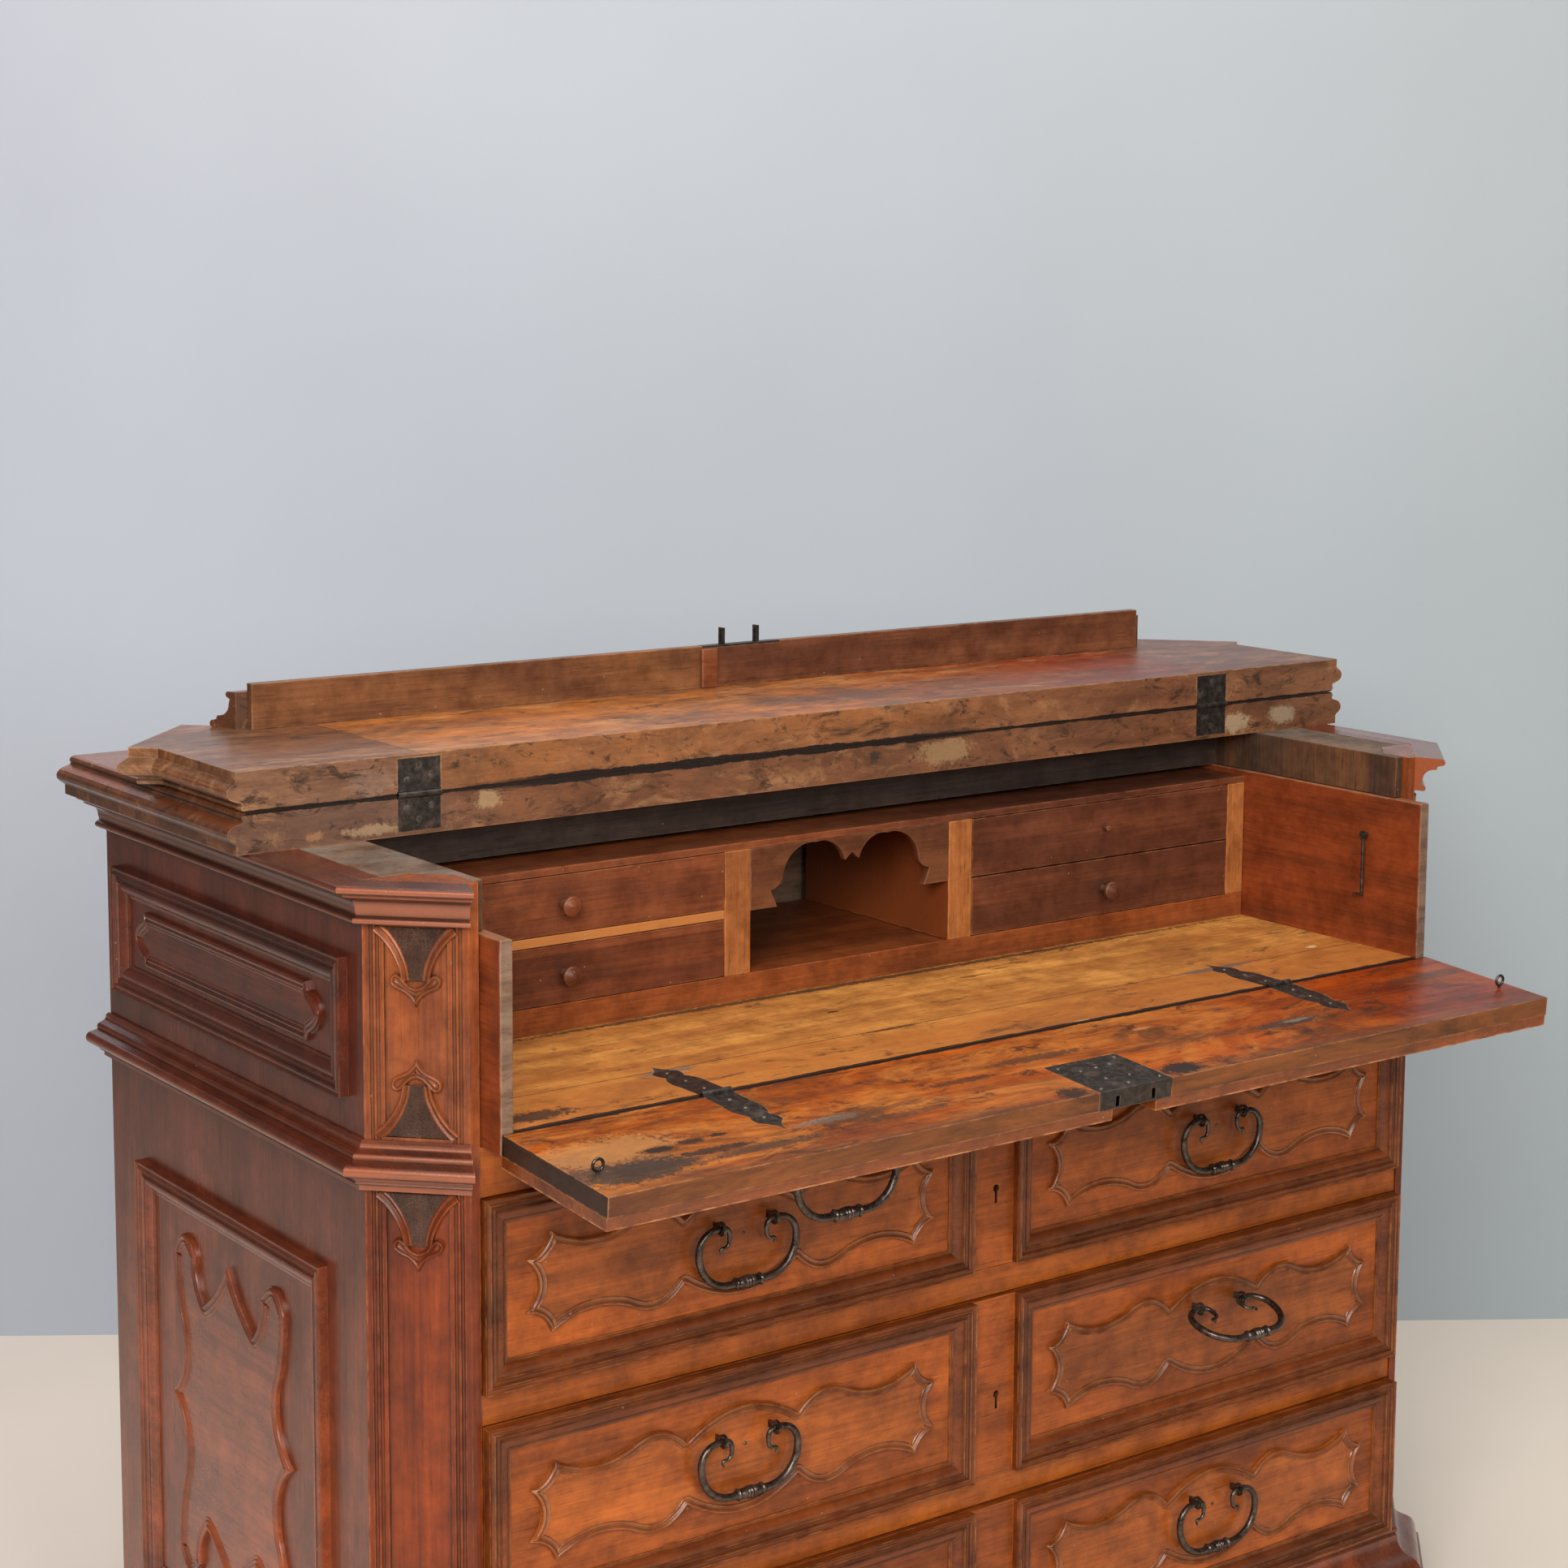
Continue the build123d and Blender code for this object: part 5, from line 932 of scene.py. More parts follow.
# %% Bails
TAPER = [(0, 1.2), (6, 1.6), (22, 2.4), (48, 3.2), (80, 3.8), (130, 3.9), (1000, 3.8)]
COLLAR = [
    (3.8, -17.0), (5.4, -16.0), (6.4, -14.6), (5.9, -13.2), (4.9, -12.6), (4.8, -11.6), (5.3, -10.8),
    (5.6, -5.6), (5.0, -5.0), (5.9, -4.4), (6.4, -3.4), (5.9, -2.4), (5.1, -2.0), (5.9, -1.5),
    (6.6, 0.0),
]
COLLAR += [(r, -h) for r, h in COLLAR[-2::-1]]


def thickness(run):
    """Radius of the bar at a distance from its thin end."""
    for (s0, r0), (s1, r1) in zip(TAPER, TAPER[1:]):
        if run <= s1:
            return r0 + (r1 - r0) * (run - s0) / (s1 - s0)
    return TAPER[-1][1]


def bail(name, node, body, pivot, swing):
    """One bail on its staples, swung round its pivot line."""
    bar = half_bar + [Vector((-p.x, p.y, p.z)) for p in half_bar[-2::-1]]
    radii = [thickness(s) for s in lengths]
    radii = radii + radii[-2::-1]
    parts = joined(tube(bar, radii), turning(COLLAR, (1, 0, 0), (0, 0, -BAIL_DROP), 20))
    turn = Matrix.Rotation(math.radians(swing), 3, "X")
    pivot = Vector(pivot)
    points = [at(*(turn @ Vector(p) + pivot)) for p in parts[0]]
    piece(name, points, parts[1], "handle_iron", body, (node,), sharp=40)


RISE = {"bottom": 26.0, "middle": 28.0, "top": 19.0}
for row, middle in ROW_MIDDLE.items():
    for side, sign in (("left", -1), ("right", 1)):
        node = f"{row}_drawer_handle_{side}"
        pivot = (sign * PANEL_X, -9.5 - ROW_PROUD[row], middle + RISE[row])
        swing = -72 if (row, side) == ("middle", "right") else 0
        bail(f"{row}_{side}_bail", node, node, pivot, swing)
flap_pivot = lowered((0, FLAP_Y - 124.0, 806.5))
for side, sign, swing in (("left", -1, 0), ("right", 1, 90)):
    node = f"flap_handle_{side}"
    bail(f"flap_{side}_bail", node, node, (sign * 313.75, flap_pivot[1], flap_pivot[2]), swing)
print("8 bails, flap bails hang from", [round(v, 1) for v in flap_pivot])

# %% [markdown]
# ## Raised plaques
# The fronts and sides carry flat plaques with a moulded rim. A rim follows the plaque's outline
# at a steady distance, so its shape is one profile of distance and height. Each point of the
# outline sends a ray inwards, and stops where another part of the outline is nearer, which
# mitres the corners of itself.

# %% Rims that follow an outline
def bowed(shares, across, up, step=3.5):
    """Points round an outline from shares; a third share bows the side that ends there."""
    corners = [Vector((s[0] * across, s[1] * up)) for s in shares]
    ring = []
    for k, share in enumerate(shares):
        start, end = corners[k - 1], corners[k]
        chord = end - start
        bow = share[2] if len(share) > 2 else 0.0
        count = max(1, int(chord.length / step))
        for j in range(count):
            t = j / count
            lift = 4 * bow * t * (1 - t)
            ring.append(start + chord * t + Vector((-chord.y, chord.x)) * lift)
    turning_sum = sum(p.x * q.y - q.x * p.y for p, q in zip(ring, ring[1:] + ring[:1]))
    return ring if turning_sum > 0 else ring[::-1]


def fan_out(ring):
    """Outline points with their inward directions, and a fan of directions at inner corners."""
    starts, ways = [], []
    for k, point in enumerate(ring):
        into = (point - ring[k - 1]).normalized()
        out_of = (ring[(k + 1) % len(ring)] - point).normalized()
        before, after = Vector((-into.y, into.x)), Vector((-out_of.y, out_of.x))
        cross = into.x * out_of.y - into.y * out_of.x
        if cross < -0.35:
            for t in (0.0, 0.25, 0.5, 0.75, 1.0):
                starts.append(point)
                ways.append((before * (1 - t) + after * t).normalized())
        elif cross > 0.35:
            for way in (before, after):
                starts.append(point)
                ways.append((before + after).normalized() if way is before else way)
            ways[-1] = ways[-2]
        else:
            starts.append(point)
            ways.append((before + after).normalized())
    return np.array([tuple(s) for s in starts]), np.array([tuple(w) for w in ways])


def rim(ring, profile):
    """Points (across, up, height) and faces of a rim with a profile of distance and height."""
    starts, ways = fan_out(ring)
    a = np.array([tuple(p) for p in ring])
    b = np.roll(a, -1, axis=0)
    side = b - a
    square = (side ** 2).sum(axis=1)
    deepest = max(d for d, h in profile)
    limit = np.full(len(starts), deepest + 1.0)
    for d in np.arange(0.25, deepest + 0.25, 0.25):
        probe = starts + ways * d
        rel = probe[:, None, :] - a[None, :, :]
        t = np.clip((rel * side[None]).sum(axis=2) / square[None], 0, 1)
        gap = np.linalg.norm(rel - side[None] * t[..., None], axis=2).min(axis=1)
        crossed = (gap < d - 0.12) & (limit > deepest)
        limit[crossed] = d - 0.25
    heights_d, heights_h = zip(*profile)
    points, count = [], len(starts)
    for d, h in profile:
        reach = np.minimum(limit, d)
        for k in range(count):
            p = starts[k] + ways[k] * reach[k]
            height = h if reach[k] >= d else float(np.interp(reach[k], heights_d, heights_h))
            points.append((p[0], p[1], height))
    faces = []
    for r in range(len(profile) - 1):
        for k in range(count):
            n = (k + 1) % count
            faces.append((r * count + k, r * count + n, (r + 1) * count + n, (r + 1) * count + k))
    return points, faces, count


def close_rim(made, profile):
    """Join a rim's first and last rings underneath, so that it is a closed band."""
    points, faces, count = made
    last = (len(profile) - 1) * count
    for k in range(count):
        n = (k + 1) % count
        faces.append((last + k, last + n, n, k))
    return points, faces


CARTOUCHE = [
    (0.275, 0.66, 0.17), (0.54, 0.86, 0.20), (0.89, 1.00, -0.12), (1.00, 0.52, -0.15),
    (1.00, -0.52, -0.25), (0.89, -1.00, -0.15), (0.54, -0.86, -0.12), (0.275, -0.66, 0.20),
    (-0.275, -0.66, 0.17), (-0.54, -0.86, 0.20), (-0.89, -1.00, -0.12), (-1.00, -0.52, -0.15),
    (-1.00, 0.52, -0.25), (-0.89, 1.00, -0.15), (-0.54, 0.86, -0.12), (-0.275, 0.66, 0.20),
]
CARTOUCHE_RIM = [
    (0.0, 0.6), (0.05, 3.4), (0.5, 4.8), (1.3, 5.6), (2.4, 5.9), (3.4, 5.4), (4.2, 4.3), (5.2, 3.7),
    (6.4, 3.9), (7.4, 4.6), (8.2, 4.7), (8.8, 4.0), (9.3, 2.8), (8.0, 0.6),
]
cartouche = bowed(CARTOUCHE, 245, 49)
shape = rim(cartouche, CARTOUCHE_RIM[:-1])
band = close_rim(shape, CARTOUCHE_RIM[:-1])
print("cartouche rim:", len(band[0]), "points")

# %% Cartouche rims of the drawers and the flap
for row, middle in ROW_MIDDLE.items():
    for side, sign in (("left", -1), ("right", 1)):
        face_y = 6.0 - ROW_PROUD[row]
        points = [at(sign * PANEL_X + u, face_y - h, middle + v) for u, v, h in band[0]]
        piece(f"{row}_{side}_cartouche_rim", points, band[1], "frame_walnut", f"{row}_drawer",
              sharp=30)
for side, sign in (("left", -1), ("right", 1)):
    points = [
        at(*lowered((sign * 322.75 + u, FLAP_Y - 89.5 - v, 817.5 - h))) for u, v, h in band[0]
    ]
    piece(f"flap_{side}_cartouche_rim", points, band[1], "frame_walnut", "flap",
          sharp=30)
print("8 cartouche rims")

# %% [markdown]
# The case sides have a long plaque above, with a bowed and eared end, and a tall scalloped one
# below. Their rims are heavier, with three beads.

# %% Side plaques
UPPER_PLAQUE = [
    (0.82, 1.0), (0.84, 0.72), (0.84, -0.72, 0.50), (0.82, -1.0),
    (-0.82, -1.0), (-0.84, -0.72), (-0.84, 0.72, 0.50), (-0.82, 1.0),
]
LOWER_PLAQUE = [
    (0.00, 0.99, -0.06), (0.42, 0.68, -0.06), (0.56, 0.93, -0.12), (0.92, 0.90, 0.42),
    (0.80, 0.46, 0.06), (1.00, 0.04, -0.18), (0.80, -0.42, -0.18), (0.92, -0.90, 0.06),
    (0.56, -0.93, 0.42), (0.42, -0.68, -0.12), (0.00, -0.99, -0.06), (-0.42, -0.68, -0.06),
    (-0.56, -0.93, -0.12), (-0.92, -0.90, 0.42), (-0.80, -0.42, 0.06), (-1.00, 0.04, -0.18),
    (-0.80, 0.46, -0.18), (-0.92, 0.90, 0.06), (-0.56, 0.93, 0.42), (-0.42, 0.68, -0.12),
]
SIDE_RIM = [
    (0.0, 0.4), (0.05, 3.0), (0.6, 4.8), (1.8, 5.9), (3.2, 6.2), (4.6, 5.7), (5.4, 4.6), (6.2, 4.3),
    (7.2, 4.9), (8.4, 5.3), (9.6, 4.8), (10.4, 3.8), (11.2, 3.6), (12.2, 3.9), (13.2, 3.6),
    (13.9, 2.8),
]
for label, shares, half_long, half_high, z in (
    ("upper", UPPER_PLAQUE, 222, 29, 921.125), ("lower", LOWER_PLAQUE, 135, 178, 442.875),
):
    made = close_rim(rim(bowed(shares, half_long, half_high), SIDE_RIM), SIDE_RIM)
    for side, sign in (("left", -1), ("right", 1)):
        points = [at(sign * (HALF + h), SIDE_MIDDLE - u, z + v) for u, v, h in made[0]]
        piece(f"{side}_{label}_plaque_rim", points, made[1], "side_trim", "case",
              sharp=30)
print("4 side plaque rims")

# %% [markdown]
# ## Carved tulips
# On each canted corner, both ends of the sunk panels carry a stylised tulip. Two moulded leaves
# flare out from a neck, a pointed cap closes them, and the ground between the leaves is
# punched all over, which makes it look darker. The leaves are bands with a double ridge, the
# cap is a domed shape with the same mitring as the rims, and the punch marks are scattered.

# %% Tulip parts
LEAF_LINE = [(36.5, 1.0), (30.0, 6.5), (23.6, 14.0), (18.4, 22.0), (14.6, 30.0), (11.6, 38.0), (9.4, 50.0)]
LEAF_SECTION = [
    (-1.0, 0.2), (-0.96, 2.6), (-0.78, 3.8), (-0.52, 4.4), (-0.28, 3.9), (-0.08, 3.2), (0.12, 3.9),
    (0.38, 5.6), (0.62, 6.2), (0.86, 5.4), (0.97, 4.0), (1.0, 0.2),
]
CAP = [
    (0.0, 56.5), (5.0, 54.8), (9.5, 50.6), (13.5, 46.0), (18.0, 43.6), (22.6, 45.4), (24.6, 50.0),
    (22.8, 55.2), (17.6, 58.6), (11.0, 61.6), (6.0, 65.4), (2.6, 70.0), (0.0, 75.5),
]
CAP_RIM = [
    (0.0, 0.0), (0.1, 3.0), (0.9, 5.2), (2.0, 5.9), (3.0, 5.3), (3.7, 4.5), (4.7, 5.6), (6.2, 6.8),
    (9.0, 7.5), (13.0, 7.8),
]


def smooth_line(points, count):
    """A smooth line through points, in even steps."""
    points = [Vector(p) for p in points]
    ends = [points[0] * 2 - points[1]] + points + [points[-1] * 2 - points[-2]]
    line = []
    for k in range(count + 1):
        s = k / count * (len(points) - 1)
        i = min(int(s), len(points) - 2)
        t = s - i
        p0, p1, p2, p3 = ends[i:i + 4]
        line.append(0.5 * ((2 * p1) + (p2 - p0) * t + (2 * p0 - 5 * p1 + 4 * p2 - p3) * t * t
                           + (3 * p1 - p0 - 3 * p2 + p3) * t ** 3))
    return line


def leaf(sign):
    """One flaring leaf of a tulip: across, up and height of its points, and its faces."""
    line = smooth_line(LEAF_LINE, 26)
    points, faces = [], []
    for k, centre in enumerate(line):
        way = (line[min(k + 1, 26)] - line[max(k - 1, 0)]).normalized()
        across = Vector((way.y, -way.x))
        half = 5.8 - 1.6 * k / 26
        for share, height in LEAF_SECTION:
            p = centre + across * half * share
            points.append((sign * min(max(p.x, 0.2), 41.0), max(p.y, 0.3), height))
    width = len(LEAF_SECTION)
    for k in range(26):
        for j in range(width - 1):
            a = k * width + j
            faces.append((a, a + 1, a + width + 1, a + width))
    faces.append(tuple(range(width)))
    faces.append(tuple(range(26 * width, 27 * width))[::-1])
    for k in range(26):
        a = k * width
        faces.append((a, a + width, a + 2 * width - 1, a + width - 1))
    return points, faces


cap_half = smooth_line(CAP, 40)
cap_ring = cap_half + [Vector((-p.x, p.y)) for p in cap_half[-2:0:-1]]
area = sum(p.x * q.y - q.x * p.y for p, q in zip(cap_ring, cap_ring[1:] + cap_ring[:1]))
cap_ring = cap_ring if area > 0 else cap_ring[::-1]
cap_points, cap_faces, cap_count = rim(cap_ring, CAP_RIM)
cap_faces.append(tuple(range(cap_count))[::-1])
tulip_points, tulip_faces = joined(leaf(1), leaf(-1), (cap_points, cap_faces))
print("a tulip has", len(tulip_faces), "faces")

# %% Tulips on the posts
SPANS = [(147.0, 772.75), (824.75, 1022.5)]
CANT_FACE = (HALF - CANT / 2, CANT / 2)
SUNK = 3.0
DIAGONAL = math.sqrt(0.5)


def on_cant(side, u, v, h, end, direction):
    """A point of a corner's sunk panel: across, along from one end, and height above it."""
    out = (h - SUNK) * DIAGONAL
    x = side * (CANT_FACE[0] + out) - side * u * DIAGONAL
    return at(x, CANT_FACE[1] - out - u * DIAGONAL, end + direction * v)


carved = []
for side in (-1, 1):
    for low, high in SPANS:
        for end, direction in ((low, 1), (high, -1)):
            points = [on_cant(side, u, v, h, end, direction) for u, v, h in tulip_points]
            carved.append((points, tulip_faces))
points, faces = joined(*carved)
piece("carved_tulips", points, faces, "post_walnut", "case",
      ("pilaster_carvings",), sharp=40)
print("8 tulips,", len(faces), "faces")

# %% [markdown]
# ## Punched ground
# The carver struck a small punch hundreds of times, close together but never in rows. A
# Geometry Nodes tree scatters points over the ground with a least distance between them, sets
# a small stud on each, and joins the result to one mesh.

# %% Ground plates
def ground_plate():
    """The ground between a tulip's leaves, as a thin plate of strips."""
    line = smooth_line(LEAF_LINE, 16)
    points, faces = [], []
    for k, centre in enumerate(line):
        for j in range(7):
            points.append((centre.x * (j / 3 - 1), max(centre.y, 0.4), 3.2))
    for k in range(16):
        for j in range(6):
            a = k * 7 + j
            faces.append((a, a + 1, a + 8, a + 7))
    return points, faces


plate_points, plate_faces = ground_plate()
plates = []
for side in (-1, 1):
    for low, high in SPANS:
        for end, direction in ((low, 1), (high, -1)):
            turned_over = side * direction > 0
            flat = [on_cant(side, u, v, h, end, direction) for u, v, h in plate_points]
            order = [f[::-1] for f in plate_faces] if turned_over else plate_faces
            plates.append((flat, order))
points, faces = joined(*plates)
ground_mesh = bpy.data.meshes.new("punched_ground")
ground_mesh.from_pydata([tuple(p) for p in points], [], faces)
outward = Vector((-1, -1, 0)).normalized()
first = ground_mesh.polygons[0].normal.dot(outward)
if first < 0:
    ground_mesh.flip_normals()
ground_mesh.update()
print("8 ground plates, first faces", "out" if first > 0 else "in, turned over")

# %% Geometry Nodes: scattered studs
def geometry_tree(name, inputs):
    """An empty Geometry Nodes tree with named inputs, and its two end nodes."""
    tree = bpy.data.node_groups.new(name, "GeometryNodeTree")
    tree.interface.new_socket("Geometry", in_out="INPUT", socket_type="NodeSocketGeometry")
    tree.interface.new_socket("Geometry", in_out="OUTPUT", socket_type="NodeSocketGeometry")
    for label, kind, value in inputs:
        made = tree.interface.new_socket(label, in_out="INPUT", socket_type="NodeSocket" + kind)
        if value is not None:
            made.default_value = value
    return tree, put(tree, "NodeGroupInput"), put(tree, "NodeGroupOutput")


def run_tree(mesh, name, tree, values):
    """Run a tree on a mesh and return the result as a plain mesh."""
    thing = bpy.data.objects.new(name, mesh)
    bpy.context.collection.objects.link(thing)
    modifier = thing.modifiers.new(name, "NODES")
    modifier.node_group = tree
    for item in tree.interface.items_tree:
        if item.item_type == "SOCKET" and item.in_out == "INPUT" and item.name in values:
            modifier[item.identifier] = values[item.name]
    bpy.context.view_layer.update()
    evaluated = thing.evaluated_get(bpy.context.evaluated_depsgraph_get())
    result = bpy.data.meshes.new_from_object(evaluated)
    thing.modifiers.remove(modifier)
    bpy.data.objects.remove(thing)
    return result


punching, src, dst = geometry_tree(
    "punched_studs",
    [("Spacing", "Float", 0.0016), ("Density", "Float", 400000.0), ("Stud radius", "Float", 0.0009),
     ("Stud height", "Float", 0.0006), ("Seed", "Int", 7), ("Material", "Material", None)],
)
dots = put(
    punching, "GeometryNodeDistributePointsOnFaces",
    {"Mesh": src.outputs["Geometry"], "Distance Min": src.outputs["Spacing"],
     "Density Max": src.outputs["Density"], "Seed": src.outputs["Seed"]},
    distribute_method="POISSON",
)
stud = put(
    punching, "GeometryNodeMeshCone",
    {"Vertices": 6, "Radius Top": 0.0002, "Radius Bottom": src.outputs["Stud radius"],
     "Depth": src.outputs["Stud height"]},
)
studs = put(
    punching, "GeometryNodeInstanceOnPoints",
    {"Points": dots.outputs["Points"], "Instance": stud.outputs["Mesh"],
     "Rotation": dots.outputs["Rotation"]},
)
together = put(
    punching, "GeometryNodeJoinGeometry", {"Geometry": src.outputs["Geometry"]}
)
punching.links.new(studs.outputs["Instances"], together.inputs["Geometry"])
real = put(punching, "GeometryNodeRealizeInstances", {"Geometry": together.outputs["Geometry"]})
named = put(
    punching, "GeometryNodeSetMaterial",
    {"Geometry": real.outputs["Geometry"], "Material": src.outputs["Material"]},
)
punching.links.new(named.outputs["Geometry"], dst.inputs["Geometry"])
wood("punched_walnut", (0.085, 0.034, 0.020), (0.028, 0.013, 0.009), "Z", 0.2, 0.3, 1.0, 0.35,
     rough=0.24, coat=0.0, shine=0.35, worn_to=(0.26, 0.15, 0.10))
punched = run_tree(
    ground_mesh, "punched_ground", punching,
    {"Spacing": 0.0021, "Density": 300000.0, "Seed": 7, "Material": finishes["punched_walnut"]},
)
settle("punched_ground", punched, "punched_walnut", "case", sharp=30)
print("punched ground:", len(punched.polygons), "faces")

# %% [markdown]
# ## Nails, rivets and screws
# Hinges and locks are held by hand-made screws and nails. Each head is the same small shape, so
# one tree sets a head on every point of a list, turned to the surface it sits on, with a random
# turn for each so that no two slots line up.

# %% Geometry Nodes: heads on points
fixing, src, dst = geometry_tree(
    "heads_on_points",
    [("Head", "Object", None), ("Size", "Float", 1.0), ("Seed", "Int", 3), ("Material", "Material", None)],
)
towards = put(fixing, "GeometryNodeInputNamedAttribute", {"Name": "towards"}, data_type="FLOAT_VECTOR")
upright = put(fixing, "FunctionNodeAlignRotationToVector", {"Vector": towards.outputs[0]}, axis="Z")
chance = put(
    fixing, "FunctionNodeRandomValue", {2: 0.0, 3: math.pi, "Seed": src.outputs["Seed"]},
    data_type="FLOAT",
)
about = put(
    fixing, "FunctionNodeAxisAngleToRotation", {"Axis": (0, 0, 1), "Angle": chance.outputs[1]}
)
turned = put(
    fixing, "FunctionNodeRotateRotation",
    {"Rotation": upright.outputs[0], "Rotate By": about.outputs[0]}, rotation_space="LOCAL",
)
head = put(fixing, "GeometryNodeObjectInfo", {"Object": src.outputs["Head"]})
places = put(fixing, "GeometryNodeMeshToPoints", {"Mesh": src.outputs["Geometry"]})
heads = put(
    fixing, "GeometryNodeInstanceOnPoints",
    {"Points": places.outputs["Points"], "Instance": head.outputs["Geometry"],
     "Rotation": turned.outputs[0], "Scale": src.outputs["Size"]},
)
real = put(fixing, "GeometryNodeRealizeInstances", {"Geometry": heads.outputs["Instances"]})
named = put(
    fixing, "GeometryNodeSetMaterial",
    {"Geometry": real.outputs["Geometry"], "Material": src.outputs["Material"]},
)
fixing.links.new(named.outputs["Geometry"], dst.inputs["Geometry"])


def head_shape(name, radius, height, slot_width):
    """A head that stands on the origin: a low dome, with a slot if it has a width."""
    rings = [(1.0, -0.3), (1.0, 0.25), (0.86, 0.7), (0.55, 0.95)]
    points, faces, sides = [], [], 16
    for share, up in rings:
        for j in range(sides):
            a = 2 * math.pi * (j + 0.5) / sides
            points.append((radius * share * math.cos(a), radius * share * math.sin(a), height * up))
    for k in range(len(rings) - 1):
        for j in range(sides):
            n = (j + 1) % sides
            faces.append((k * sides + j, k * sides + n, (k + 1) * sides + n, (k + 1) * sides + j))
    faces.append(tuple(range(sides))[::-1])
    top = (len(rings) - 1) * sides
    faces.append(tuple(range(top, top + sides)))
    mesh = bpy.data.meshes.new(name)
    mesh.from_pydata(points, [], faces)
    if slot_width:
        work = bmesh.new()
        work.from_mesh(mesh)
        for offset in (-slot_width / 2, slot_width / 2):
            geometry = work.verts[:] + work.edges[:] + work.faces[:]
            bmesh.ops.bisect_plane(work, geom=geometry, plane_co=(0, offset, 0), plane_no=(0, 1, 0))
        for vertex in work.verts:
            if abs(vertex.co.y) <= slot_width / 2 + 1e-6 and vertex.co.z > height * 0.2:
                vertex.co.z = height * 0.2
        work.to_mesh(mesh)
        work.free()
    thing = bpy.data.objects.new(name, mesh)
    bpy.context.collection.objects.link(thing)
    return thing


def heads_on(name, places, shape, size, material, body, seed=3):
    """Heads at places, each a point and a direction in the drawing's frame."""
    mesh = bpy.data.meshes.new(name)
    mesh.from_pydata([tuple(at(*p)) for p, way in places], [], [])
    ways = mesh.attributes.new("towards", "FLOAT_VECTOR", "POINT")
    for k, (p, way) in enumerate(places):
        ways.data[k].vector = way
    made = run_tree(
        mesh, name, fixing,
        {"Head": shape, "Size": size, "Seed": seed, "Material": finishes[material]},
    )
    return settle(name, made, material, body, sharp=40)


screw = head_shape("screw_head", 3.6 * MM, 0.26 * MM, 1.0 * MM)
nail = head_shape("nail_head", 2.2 * MM, 1.0 * MM, 0.0)
print("two kinds of head")

# %% Where the nails and screws go
FRONT = (0, -1, 0)
lid_screws = [((x + dx, LEAF_FACE, TOP_Z + dz), FRONT) for x in (-548, 530) for dx, dz in (
    (-13.5, 15), (14, 19), (0, 29))]
top_screws = [((x + dx, LEAF_FACE, TOP_Z - dz), FRONT) for x in (-548, 530) for dx, dz in (
    (-14, 13), (13.5, 12), (0, 25))]
heads_on("lid_hinge_screws", lid_screws, screw, 1.0, "plate_iron", "folding_top", 5)
heads_on("top_hinge_screws", top_screws, screw, 1.0, "plate_iron", "case", 9)
UP = (0, math.sin(DROOP), math.cos(DROOP))
UP_FLAP = (0, -math.sin(DROOP), math.cos(DROOP))
flap_nails = [
    (lowered((x, FLAP_Y - reach, FLOOR_Z)), UP_FLAP) for x in (-379, 379) for reach in (22, 48, 78)
]
flap_nails += [
    (lowered((x, FLAP_Y - 179 + reach, FLOOR_Z)), UP_FLAP)
    for x, reach in ((-40, 8), (-38, 74), (40, 10), (39, 76), (-14, 30), (16, 28), (0, 60), (20, 62),
                     (-22, 58), (-2, 10))
]
heads_on("flap_nails", flap_nails, nail, 1.0, "dull_iron", "flap", 4)
floor_nails = [((x, FLAP_Y + reach, FLOOR_Z), (0, 0, 1)) for x in (-379, 379) for reach in (20, 52, 84)]
heads_on("floor_nails", floor_nails, nail, 1.0, "dull_iron", "writing_drawer", 6)
for row, middle in ROW_MIDDLE.items():
    marks = [
        ((sign * PANEL_X + 3, 3.0 - ROW_PROUD[row], middle + RISE[row] - 14), FRONT)
        for sign in (-1, 1)
    ]
    heads_on(f"{row}_plaque_nails", marks, nail, 0.85, "plate_iron", f"{row}_drawer")
bpy.data.objects.remove(screw)
bpy.data.objects.remove(nail)
print(len(lid_screws) + len(top_screws), "screws,", len(flap_nails) + len(floor_nails), "nails")

# %% [markdown]
# ## Joint block
# The fascia was made of two lengths, and a small dark block is nailed over their joint, behind
# the staple plate. Its edges are rounded by wear.

# %% Joint block
def worn_block(name, low, high, rounding, material, body):
    """A small board between two corners of the drawing, with worn edges."""
    mesh = bpy.data.meshes.new(name)
    work = bmesh.new()
    bmesh.ops.create_cube(work, size=1.0)
    a, b = at(*low), at(*high)
    for vertex in work.verts:
        vertex.co = Vector([a[i] + (b[i] - a[i]) * (vertex.co[i] + 0.5) for i in range(3)])
    bmesh.ops.recalc_face_normals(work, faces=work.faces)
    bmesh.ops.bevel(
        work, geom=work.edges[:], offset=rounding * MM, segments=3, profile=0.5, affect="EDGES"
    )
    work.to_mesh(mesh)
    work.free()
    return settle(name, mesh, material, body)


FASCIA_BACK = 460.0
worn_block("fascia_joint_block", (-58, FASCIA_BACK - 5.5, 1145.2), (-37, FASCIA_BACK - 0.1, 1189.5), 1.2,
           "nest_walnut", "folding_top")
print("joint block on the fascia")

# %% [markdown]
# ## The room
# The commode stands on a pale floor before a blue-grey wall. Both are painted lighter towards the
# left as painted light, and the wall is also painted darker towards the right and a little less
# blue higher up. The wall is seen only from its front, so that a view from behind isn't blocked.

